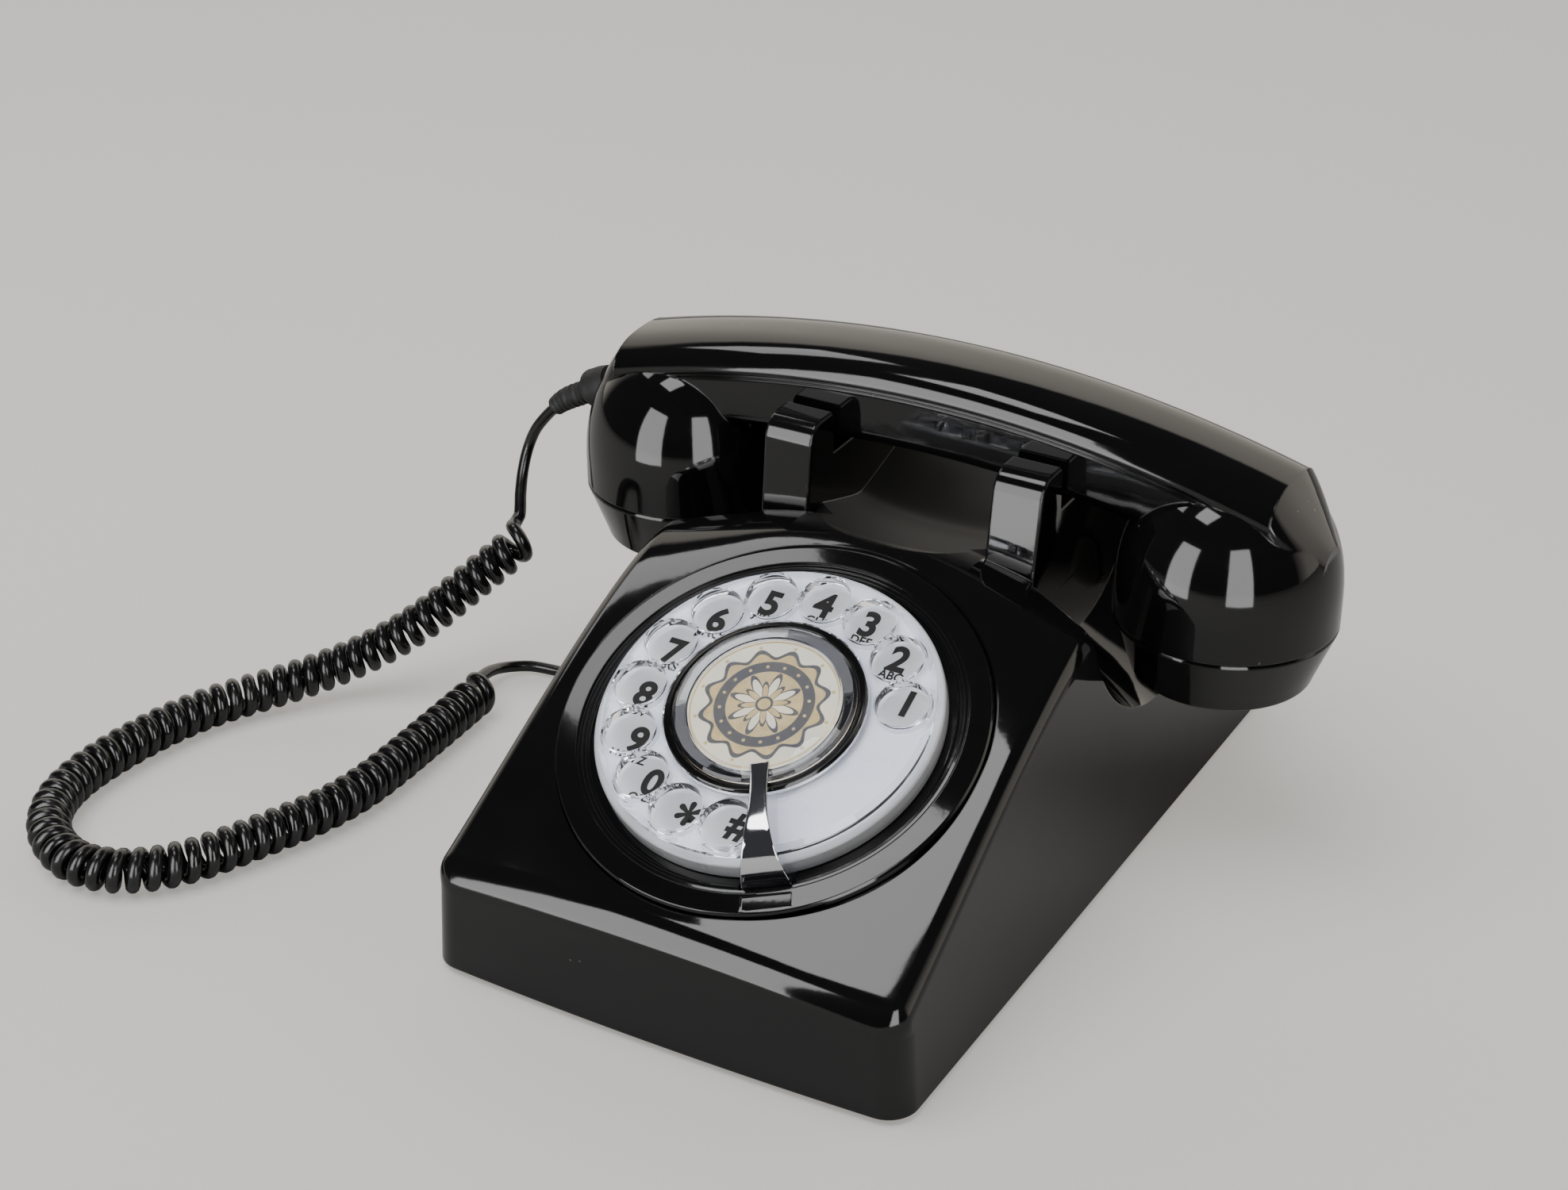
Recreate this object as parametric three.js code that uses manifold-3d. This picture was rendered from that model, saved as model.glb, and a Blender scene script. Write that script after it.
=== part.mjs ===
// Desk telephone with a rotary dial, a handset on its cradle and a curly handset cord.
// Millimetres. X to the right, Y to the back, Z up; the origin is on the table, under the middle.

import * as THREE from 'three';
import { mergeVertices } from 'three/addons/utils/BufferGeometryUtils.js';
import Module from 'manifold-3d';

const wasm = await Module();
wasm.setup();
const { degToRad, clamp, lerp } = THREE.MathUtils;

// ---------------------------------------------------------------- driving dimensions

const GAP = 0.3;                      // running clearance between pieces that touch on the real object

// housing
const WIDTH = 142;                    // across the side walls at the table
const DEPTH = 240;                    // front apron to rear wall
const WALL = 2.6;                     // moulded wall
const FOOT_LIFT = 2;                  // the housing's lower edge above the table
const APRON_TOP = 29.4;               // where the front apron starts to turn into the face
const APRON_RADIUS = 10;
const APRON_BOW = 2;                  // the front bows out in its middle
const FACE_CROWN = 4.5;               // the face's front edge falls off by this towards its corners
const CORNER_RADIUS = 8;              // upright corners
const EDGE_RADIUS = 4.5;              // long edges of the face
const SIDE_DRAFT = 0.053;             // each side wall leans in by this share of its height
const FACE_TILT = degToRad(25.6);
const REAR_WALL_TOP = 50;
const REAR_RADIUS = 12;               // rear wall into the rear slope
const REAR_SHOULDER = 84;             // where the crest turns down to the rear slope
const SHOULDER_CURVE = 0.019;         // fall of the shoulders, per square millimetre past the dial
const SHOULDER_REACH = 79;            // the shoulders stop growing this far above the dial's axis

// cradle
const CRADLE_Y = 41.5;                // the handset's long axis lies over this line
const TROUGH_Z = 93;                  // axis of the two flared troughs that clear the handset's cups
const TROUGH_NECK = 36;               // trough radius against the saddle
const TROUGH_FLARE = 0.5;             // growth of that radius per millimetre outwards
const SADDLE_IN = 27.5;               // inner face of each saddle from the middle
const SADDLE_OUT = 42.5;
const SADDLE_FOOT = 76;
const SADDLE_EDGE = 0.9;
const FRONT_HORN_TOP = 114.5;
const REAR_HORN_TOP = 119.5;
const HORN_DEPTH = 14;
const HORN_RADIUS = 6.5;
const BOWL_RADIUS = 41;               // finger bowl between the saddles
const BOWL_DIP = 7;
const BOWL_LIP = 91;                  // height of its rim

// dial; heights are above the face
const DIAL_Y = -58.7;
const DIAL_Z = 64.6;
const RING_RADIUS = 58.5;
const RING_TOP = 1.9;
const WELL_RADIUS = 49;               // inside of the ring, where the wheel turns
const RING_BOTTOM = -4;
const LEDGE_RADIUS = 44;              // the ring's ledge under the number plate
const PLATE_RADIUS = 46.8;
const PLATE_TOP = 5;
const PLATE_THICKNESS = 1.6;
const PLATE_BORE = 8;
const WHEEL_RADIUS = 45;
const WHEEL_BOTTOM = 5.8;
const WHEEL_TOP = 9;
const HOLE_COUNT = 12;
const HOLE_RADIUS = 7;
const HOLE_CIRCLE = 36.3;
const HOLE_PITCH = degToRad(23.8);
const FIRST_HOLE = degToRad(19.4);
const HUB_RADIUS = 27;
const HUB_FLOOR = 7.1;                // the wheel's web under the hub ends a gap below this
const CAP_HUB_RADIUS = 24.6;
const CAP_HUB_TOP = 10.9;
const LABEL_RADIUS = 20.6;
const SHAFT_RADIUS = 3;
const STOP_ANGLE = degToRad(-64);
const STOP_THICKNESS = 1.6;
const STOP_TIP = 21;                  // distance of the stop's tip from the dial's axis
const FRAME_RADIUS = 52;
const FRAME_TOP = RING_BOTTOM - GAP;
const FRAME_THICKNESS = 1.6;
const EAR_RADIUS = 61.6;              // the frame's screws lie on this circle
const EAR_ANGLES = [66, 114, 210, 330];
const BRIDGE_TOP = -24.5;
const BRIDGE_THICKNESS = 1.5;
const GEAR_MODULE = 1.5;
const MAIN_TEETH = 24;
const PINION_TEETH = 6;
const GEAR_TOP = -9;
const GEAR_THICKNESS = 2;
const GOVERNOR_ANGLE = degToRad(135);

// handset
const HANDSET_HALF = 116;             // middle to the end of a cup
const CUP_RADIUS = 31;
const CUP_X = HANDSET_HALF - CUP_RADIUS;
const GRIP_HALF_WIDTH = 16.6;
const GRIP_TOP = 131.6;
const GRIP_HEIGHT = 25.6;             // at the middle
const GRIP_BOTTOM = GRIP_TOP - GRIP_HEIGHT;
const GRIP_TURN = 62;                 // where the grip's underside turns down towards the cups
const GRIP_LOW_END = 86;              // height of the underside at the grip's end
const GRIP_END_HALF = 7;              // half the width of the grip's end
const GRIP_SAG = 0.00135;             // the grip falls off by this times x squared
const BAND_HEIGHT = 8;                // crowned upper band over the flat panels
const PANEL_RECESS = 0.8;
const GRIP_EDGE = 4;                  // rounding of the grip's lower edges
const GRIP_CORNER = 101;              // where the top turns down to the end
const GRIP_END = 113.5;
const GRIP_END_Z = 92;
const SHELL_WALL = 2.6;
const SEAM_Z = 74;                    // joint of the shell and the caps
const DOME_BASE = 80;
const DOME_HEIGHT = 36;
const DOME_POWER = 2.4;
const CAP_BOTTOM = 56;
const CAP_RADIUS = 25.5;              // at the bottom
const PLUG_RADIUS = 3.4;              // of the cord's plug in the end of the grip
const LIFT_CLEARANCE = 0.4;
const WEIGHT_HEIGHT = 7;              // steel weight in the grip

// hook switch
const PLUNGER_X = 34;
const PLUNGER_RADIUS = 3.2;
const LEVER_TOP = 64.5;
const LEVER_THICKNESS = 2;
const PIVOT_Y = 66;
const PIVOT_RADIUS = 1.5;
const BRACKET_IN = 23;                // inner face of the bracket's uprights

// base plate and what stands on it
const BASE_BOTTOM = 2.4;
const BASE_THICKNESS = 2.2;
const BASE_TOP = BASE_BOTTOM + BASE_THICKNESS;
const BOARD_INSET = 31;               // circuit board from each side
const BOARD_REAR = DEPTH / 2 - 10;    // its rear edge
const BOARD_DEPTH = 32;
const BALLAST_FRONT = 8 - DEPTH / 2;
const BALLAST_DEPTH = 32;
const BALLAST_INSET = 37;
const FOOT_RADIUS = 7;
const FEET = corners(17, 36, 34);     // inset from the sides, the front and the rear
const POSTS = corners(21, 22, 18);
const POST_RADIUS = 4;
const SCREW_RADIUS = 1.6;
const BOARD_THICKNESS = 1.6;
const JACK_X = 20;
const SPEAKER_RADIUS = 26;
const SPEAKER_Y = 11.5;

// cord
const WIRE_RADIUS = 1.75;             // of the curled wire
const LEAD_RADIUS = 1.6;
const CURL_RADIUS = 4.7;              // middle of the wire about the coil's axis
const CURLS = 72;
const CURL_STEPS = 7;
const CURL_SIDES = 5;
const SOCKET_Y = 35;
const SOCKET_Z = 12;
const GROMMET_NECK = 4.5;             // radius where the base's grommet passes the wall

// ---------------------------------------------------------------- helpers

/** Manifold solid of a closed three.js geometry. */
function solidOf(geometry) {
  const plain = geometry.index ? geometry.toNonIndexed() : geometry.clone();
  for (const name of Object.keys(plain.attributes)) {
    if (name !== 'position') plain.deleteAttribute(name);
  }
  const merged = mergeVertices(plain, 1e-4);
  return new wasm.Manifold(new wasm.Mesh({
    numProp: 3,
    vertProperties: new Float32Array(merged.attributes.position.array),
    triVerts: new Uint32Array(merged.index.array),
  }));
}

/** Points near the four corners of the plan, inset from the sides, the front and the rear. */
function corners(side, front, rear) {
  return [front - DEPTH / 2, DEPTH / 2 - rear].flatMap((y) => [[side - WIDTH / 2, y], [WIDTH / 2 - side, y]]);
}

/** The body of a solid, without the slivers that coincident cuts can leave beside or inside it. */
function largest(solid) {
  return solid.decompose().sort((a, b) => b.volume() - a.volume())[0];
}

/** three.js geometry of a manifold solid. */
function geometryOf(solid) {
  const mesh = solid.getMesh();
  const geometry = new THREE.BufferGeometry();
  geometry.setAttribute('position', new THREE.BufferAttribute(new Float32Array(mesh.vertProperties), 3));
  geometry.setIndex(new THREE.BufferAttribute(new Uint32Array(mesh.triVerts), 1));
  return geometry;
}

/** Joins rings of equal length into a closed skin; each end is a fan about its ring's middle. */
function loft(rings) {
  const count = rings[0].length;
  const points = rings.flat();
  const faces = [];
  for (let i = 0; i < rings.length - 1; i += 1) {
    for (let j = 0; j < count; j += 1) {
      const a = i * count + j;
      const b = i * count + (j + 1) % count;
      faces.push(a, b, b + count, a, b + count, a + count);
    }
  }
  for (const [end, flip] of [[0, true], [rings.length - 1, false]]) {
    const middle = new THREE.Vector3();
    rings[end].forEach((p) => middle.addScaledVector(p, 1 / count));
    const hub = points.push(middle) - 1;
    for (let j = 0; j < count; j += 1) {
      const a = end * count + j;
      const b = end * count + (j + 1) % count;
      faces.push(...(flip ? [b, a, hub] : [a, b, hub]));
    }
  }
  const geometry = new THREE.BufferGeometry();
  geometry.setAttribute('position', new THREE.Float32BufferAttribute(points.flatMap((p) => p.toArray()), 3));
  geometry.setIndex(faces);
  return outward(geometry);
}

/** Turns every face of a closed geometry over if its volume comes out negative. */
function outward(geometry) {
  const p = geometry.attributes.position;
  const index = geometry.index.array;
  const [a, b, c] = [new THREE.Vector3(), new THREE.Vector3(), new THREE.Vector3()];
  let volume = 0;
  for (let i = 0; i < index.length; i += 3) {
    a.fromBufferAttribute(p, index[i]);
    b.fromBufferAttribute(p, index[i + 1]);
    c.fromBufferAttribute(p, index[i + 2]);
    volume += a.dot(b.cross(c));
  }
  if (volume < 0) {
    for (let i = 0; i < index.length; i += 3) {
      [index[i], index[i + 1]] = [index[i + 1], index[i]];
    }
  }
  return geometry;
}

/** Solid of revolution about Z from [radius, height] pairs, moved to x, y. */
function turned(profile, segments = 48, x = 0, y = 0) {
  const points = profile.map(([r, z]) => new THREE.Vector2(r, z));
  const geometry = new THREE.LatheGeometry(points, segments);
  geometry.rotateX(Math.PI / 2);
  geometry.translate(x, y, 0);
  return outward(mergeVertices(stripped(geometry), 1e-4));
}

/** The geometry with nothing but its positions. */
function stripped(geometry) {
  geometry.deleteAttribute('normal');
  geometry.deleteAttribute('uv');
  return geometry;
}

/** Upright cylinder from z0 to z1. */
function rod(radius, z0, z1, x = 0, y = 0, segments = 24) {
  return turned([[0, z0], [radius, z0], [radius, z1], [0, z1]], segments, x, y);
}

/** Box from its two corners. */
function block(x0, y0, z0, x1, y1, z1) {
  const geometry = new THREE.BoxGeometry(Math.abs(x1 - x0), y1 - y0, z1 - z0);
  geometry.translate((x0 + x1) / 2, (y0 + y1) / 2, (z0 + z1) / 2);
  return geometry;
}

/** Plate with rounded corners between two heights. */
function roundedPlate(x0, y0, x1, y1, radius, z0, z1, bevel = 0) {
  const shape = new THREE.Shape();
  const r = radius;
  shape.moveTo(x0 + r, y0);
  shape.lineTo(x1 - r, y0);
  shape.absarc(x1 - r, y0 + r, r, -Math.PI / 2, 0);
  shape.lineTo(x1, y1 - r);
  shape.absarc(x1 - r, y1 - r, r, 0, Math.PI / 2);
  shape.lineTo(x0 + r, y1);
  shape.absarc(x0 + r, y1 - r, r, Math.PI / 2, Math.PI);
  shape.lineTo(x0, y0 + r);
  shape.absarc(x0 + r, y0 + r, r, Math.PI, 1.5 * Math.PI);
  const geometry = new THREE.ExtrudeGeometry(shape, {
    depth: z1 - z0 - 2 * bevel,
    curveSegments: 2,
    bevelEnabled: bevel > 0,
    bevelThickness: bevel,
    bevelSize: bevel,
    bevelOffset: -bevel,
    bevelSegments: 1,
  });
  geometry.translate(0, 0, z0 + bevel);
  return geometry;
}

/** Points of an arc in a plane, from angle a0 to a1 in degrees. */
function arc(cx, cy, radius, a0, a1, steps) {
  return Array.from({ length: steps + 1 }, (_, i) => {
    const a = degToRad(a0 + (a1 - a0) * i / steps);
    return [cx + radius * Math.cos(a), cy + radius * Math.sin(a)];
  });
}

const steps = (from, to, count) => Array.from({ length: count + 1 }, (_, i) => from + (to - from) * i / count);

/** Ring of revolution about Z whose profile closes on itself. */
function ring(profile, segments = 48, x = 0, y = 0) {
  return turned([...profile, profile[0]], segments, x, y);
}

/** Joins solids or geometries into one. */
function union(...pieces) {
  return pieces.map(asSolid).reduce((sum, piece) => sum.add(piece));
}

/** Cuts all the tools out of a body. */
function cut(body, ...tools) {
  return tools.map(asSolid).reduce((left, tool) => left.subtract(tool), asSolid(body));
}

const asSolid = (shape) => (shape.isBufferGeometry ? solidOf(stripped(shape)) : shape);

/** Tube of a round section along a smooth curve through points. */
function tube(points, radius, sides, count) {
  const section = new THREE.Shape(arc(0, 0, radius, 0, 360 - 360 / sides, sides - 1)
    .map(([x, y]) => new THREE.Vector2(x, y)));
  const path = new THREE.CatmullRomCurve3(points.map((p) => new THREE.Vector3(...p)), false, 'centripetal');
  return new THREE.ExtrudeGeometry(section, { steps: count, extrudePath: path, curveSegments: 1 });
}

/** The shape moved into the dial's frame: its axis out of the face, its first axis across the phone. */
const dialPlace = new THREE.Matrix4().makeRotationX(FACE_TILT).setPosition(0, DIAL_Y, DIAL_Z);
const onFace = (geometry) => geometry.clone().applyMatrix4(dialPlace);

// ---------------------------------------------------------------- materials

function finish(color, roughness, metalness = 0, opacity = 1) {
  return new THREE.MeshStandardMaterial({ color, roughness, metalness, opacity, transparent: opacity < 1 });
}

const BLACK = () => finish(0x0b0b0c, 0.12);
const DARK = () => finish(0x1a1a1c, 0.5);
const WHITE = () => finish(0xeef0f2, 0.35);
const GOLD = () => finish(0xc9a24a, 0.35, 0.4);
const STEEL = () => finish(0x8d9095, 0.35, 0.9);
const BRASS = () => finish(0xb08d3e, 0.3, 0.9);
const CHROME = () => finish(0xd8dadd, 0.08, 1);
const CLEAR = () => finish(0xf2f5f7, 0.04, 0, 0.35);
const RUBBER = () => finish(0x141414, 0.8);
const BOARD = () => finish(0x2c5a36, 0.5);

const phone = new THREE.Group();
phone.name = 'desk_telephone';
const dial = new THREE.Group();
dial.name = 'dial';
dial.applyMatrix4(dialPlace);
phone.add(dial);

function add(name, shape, material, parent = phone) {
  const geometry = shape.isBufferGeometry ? stripped(shape) : geometryOf(shape.simplify(0.01));
  const mesh = new THREE.Mesh(geometry, material);
  mesh.name = name;
  parent.add(mesh);
  return mesh;
}

// ---------------------------------------------------------------- housing

const faceZ = (y) => DIAL_Z + (y - DIAL_Y) * Math.tan(FACE_TILT);
const smooth = (t) => t * t * (3 - 2 * t);

/** Height lost by the rounded shoulders above the dial, where the flat of the face ends. */
function shoulderDrop(x, y, z) {
  const s = Math.min((y - DIAL_Y) / Math.cos(FACE_TILT), SHOULDER_REACH);
  const reach = Math.hypot(x, s);
  if (s <= 0 || reach <= RING_RADIUS) return 0;
  const fade = y > CRADLE_Y ? clamp((z - REAR_WALL_TOP) / 30, 0, 1) : 1;
  return SHOULDER_CURVE * (reach - RING_RADIUS) ** 2 * (s / reach) ** 2.6 * fade;
}

/** Height lost by the crowned front edge of the face. */
function crownDrop(x, y, z) {
  const ahead = smooth(clamp((-88 - y) / 24, 0, 1));
  const up = clamp((z - FOOT_LIFT) / (APRON_TOP - FOOT_LIFT), 0, 1);
  return FACE_CROWN * (2 * x / WIDTH) ** 2 * ahead * up;
}

/** Side profile of the housing as [y, z, normal y, normal z, corner radius], from the front to the rear. */
function sideProfile() {
  const front = -DEPTH / 2 + APRON_BOW;
  const back = DEPTH / 2;
  const rows = [];
  const put = (y, z, angle, radius) => rows.push([y, z, Math.cos(angle), Math.sin(angle), radius]);
  const faceNormal = Math.PI / 2 + FACE_TILT;
  for (const z of [FOOT_LIFT, APRON_TOP / 2]) put(front, z, Math.PI, CORNER_RADIUS);
  for (const t of steps(0, 1, 4)) {
    const angle = lerp(Math.PI, faceNormal, t);
    put(front + APRON_RADIUS + APRON_RADIUS * Math.cos(angle), APRON_TOP + APRON_RADIUS * Math.sin(angle),
      angle, lerp(CORNER_RADIUS, EDGE_RADIUS, t));
  }
  const crestStart = CRADLE_Y - 27;
  for (const y of [-100, -88, -40, -20, -5, crestStart]) put(y, faceZ(y), faceNormal, EDGE_RADIUS);
  const crest = faceZ(crestStart);
  for (const y of steps(crestStart + 6, REAR_SHOULDER, 2)) put(y, crest, Math.PI / 2, EDGE_RADIUS);
  const turn = back - REAR_RADIUS;
  const low = REAR_WALL_TOP + 8;
  const slope = Math.atan2(crest - low, turn - REAR_SHOULDER);
  const start = Math.PI / 2 - slope;
  for (const t of [0.25, 0.75]) {
    put(lerp(REAR_SHOULDER, turn, t), lerp(crest, low, t) - 2, start, EDGE_RADIUS);
  }
  for (const t of steps(0, 1, 3)) {
    const angle = start * (1 - t);
    put(turn + REAR_RADIUS * Math.cos(angle), REAR_WALL_TOP - 2 + REAR_RADIUS * Math.sin(angle),
      angle, EDGE_RADIUS + 2 * t);
  }
  for (const z of [REAR_WALL_TOP / 2, FOOT_LIFT]) put(back, z, 0, CORNER_RADIUS);
  return rows;
}

/** The housing without its cradle, as a loft across its width, all its walls moved in by inset. */
function housingForm(inset, floor, roundSteps = 3, flatSteps = 6) {
  const stations = [];
  for (const side of [-1, 1]) {
    const order = side < 0 ? steps(1, 0, roundSteps) : steps(0, 1, roundSteps);
    for (const t of order) stations.push({ side, angle: t * Math.PI / 2 });
    if (side < 0) {
      for (const u of steps(-1, 1, flatSteps).slice(1, -1)) stations.push({ side: 0, u });
    }
  }
  const half = WIDTH / 2 - inset;
  const rows = sideProfile();
  const rings = stations.map(({ side, angle, u }) => {
    const points = rows.map(([y, z, ny, nz, radius]) => {
      const r = Math.max(radius - inset, 0.8);
      const flat = half - r;
      const x = side ? side * (flat + r * Math.sin(angle)) : u * flat;
      const depth = inset + (side ? r * (1 - Math.cos(angle)) : 0);
      const bow = APRON_BOW * Math.max(0, -ny) * (1 - (x / half) ** 2);
      return new THREE.Vector3(x, y - ny * depth - bow, Math.max(z - nz * depth, floor));
    });
    points[0].z = floor;
    points[points.length - 1].z = floor;
    for (const p of points) {
      p.z -= shoulderDrop(p.x, p.y, p.z) + crownDrop(p.x, p.y, p.z);
      p.x *= 1 - SIDE_DRAFT * 2 * p.z / WIDTH;
    }
    return points;
  });
  return solidOf(loft(rings));
}

/** The pair of flared troughs beside the saddles, all their walls moved out by grow. */
function troughs(grow) {
  const inner = SADDLE_OUT - 0.4 - grow;     // starts inside the saddle
  const outer = WIDTH / 2 + 12;
  const pair = [-1, 1].map((side) => {
    const rings = [inner, outer].map((x) => {
      const radius = TROUGH_NECK + grow + (x - SADDLE_OUT) * TROUGH_FLARE;
      return arc(CRADLE_Y, TROUGH_Z, radius, 0, 360 - 360 / 28, 27)
        .map(([y, z]) => new THREE.Vector3(side * x, y, z));
    });
    return solidOf(loft(rings));
  });
  return union(...pair);
}

/** The shallow finger bowl between the saddles, a cap of a large sphere. */
function bowl(grow) {
  const radius = (BOWL_RADIUS ** 2 + BOWL_DIP ** 2) / (2 * BOWL_DIP);
  const rim = degToRad(30);
  const centre = BOWL_LIP - BOWL_DIP + radius;
  const profile = steps(0, rim, 5).map((a) => [
    (radius + grow) * Math.sin(a), centre - (radius + grow) * Math.cos(a)]);
  const [edge, top] = profile[profile.length - 1];
  const cap = solidOf(turned([...profile, [edge, top + 8], [0, top + 8]], 24, 0, CRADLE_Y));
  const reach = SADDLE_IN + 7;
  return cap.intersect(solidOf(stripped(block(-reach, -20, 60, reach, 110, 120))));
}

/** Section of the room that the grip takes in a saddle: open at the top, its lower corners rounded. */
function gripChannel() {
  const half = GRIP_HALF_WIDTH + LIFT_CLEARANCE;
  const rings = steps(-50, 50, 6).map((x) => {
    const low = GRIP_BOTTOM - GRIP_SAG * x * x - LIFT_CLEARANCE;
    return [
      [CRADLE_Y - half, GRIP_TOP],
      ...arc(CRADLE_Y - half + GRIP_EDGE, low + GRIP_EDGE, GRIP_EDGE, 180, 270, 3),
      ...arc(CRADLE_Y + half - GRIP_EDGE, low + GRIP_EDGE, GRIP_EDGE, 270, 360, 3),
      [CRADLE_Y + half, GRIP_TOP],
    ].map(([y, z]) => new THREE.Vector3(x, y, z));
  });
  return solidOf(loft(rings));
}

/** A saddle with its front and rear horns, before the grip's channel is cut. */
function saddle(side) {
  const front = CRADLE_Y - GRIP_HALF_WIDTH - LIFT_CLEARANCE;
  const rear = CRADLE_Y + GRIP_HALF_WIDTH + LIFT_CLEARANCE;
  const r = HORN_RADIUS;
  const tip = 1.5;
  const outline = [
    [front - HORN_DEPTH, SADDLE_FOOT],
    ...arc(front - HORN_DEPTH + r, FRONT_HORN_TOP - r, r, 180, 90, 4),
    ...arc(front - tip, FRONT_HORN_TOP - tip, tip, 90, 0, 2),
    [front, GRIP_BOTTOM],
    [rear, GRIP_BOTTOM],
    ...arc(rear + tip, REAR_HORN_TOP - tip, tip, 180, 90, 2),
    ...arc(rear + HORN_DEPTH - r, REAR_HORN_TOP - r, r, 90, 0, 4),
    [rear + HORN_DEPTH, SADDLE_FOOT],
  ];
  const shape = new THREE.Shape(outline.map(([y, z]) => new THREE.Vector2(y, z)));
  const geometry = new THREE.ExtrudeGeometry(shape, {
    depth: SADDLE_OUT - SADDLE_IN - 2 * SADDLE_EDGE,
    bevelEnabled: true,
    bevelThickness: SADDLE_EDGE,
    bevelSize: SADDLE_EDGE,
    bevelOffset: -SADDLE_EDGE,
    bevelSegments: 1,
  });
  geometry.translate(0, 0, SADDLE_EDGE + SADDLE_IN);
  geometry.applyMatrix4(new THREE.Matrix4().set(0, 0, 1, 0, 1, 0, 0, 0, 0, 1, 0, 0, 0, 0, 0, 1));
  const solid = solidOf(stripped(geometry));
  return side < 0 ? solid.mirror([1, 0, 0]) : solid;
}

/** Points in the dial's frame where its screws lie. */
const ears = EAR_ANGLES.map((a) => [EAR_RADIUS * Math.cos(degToRad(a)), EAR_RADIUS * Math.sin(degToRad(a))]);

function makeHousing() {
  const skin = housingForm(0, FOOT_LIFT);
  const room = cut(housingForm(WALL, FOOT_LIFT - 1, 1, 4), troughs(WALL), bowl(WALL));
  const shell = cut(union(cut(skin, troughs(0), bowl(0)), saddle(-1), saddle(1)), gripChannel(), largest(room));
  const inside = housingForm(1, FOOT_LIFT, 2, 6);
  const posts = POSTS.map(([x, y]) => cut(
    solidOf(rod(POST_RADIUS, BASE_TOP + GAP, REAR_WALL_TOP + 12, x, y, 8)).intersect(inside),
    rod(SCREW_RADIUS + GAP, BASE_TOP - 1, BASE_TOP + 12, x, y, 6)));
  const bosses = ears.map(([x, y]) => onFace(rod(2.5, RING_BOTTOM, -1.2, x, y, 8)));
  const tapped = ears.map(([x, y]) => onFace(rod(1.4, RING_BOTTOM - 1, -1.9, x, y, 6)));
  const well = onFace(rod(RING_RADIUS + GAP, 2 * RING_BOTTOM, 12, 0, 0, 40));
  const guides = [-1, 1].map((side) => (
    rod(PLUNGER_RADIUS + 0.4, SADDLE_FOOT - 4, 112, side * PLUNGER_X, CRADLE_Y, 10)));
  const jack = block(JACK_X - 6, DEPTH / 2 - 8, BASE_TOP + 2.6, JACK_X + 6, DEPTH / 2 + 1, 20);
  const socket = rod(GROMMET_NECK + GAP, -WIDTH / 2 - 2, -WIDTH / 2 + 8, 0, 0, 10)
    .rotateY(Math.PI / 2).translate(0, SOCKET_Y, SOCKET_Z);
  const solid = cut(union(shell, ...posts, ...bosses), ...tapped, well, ...guides, jack, socket);
  return largest(solid).simplify(0.1);
}

add('housing', makeHousing(), BLACK());

// ---------------------------------------------------------------- dial, in its own frame

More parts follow.
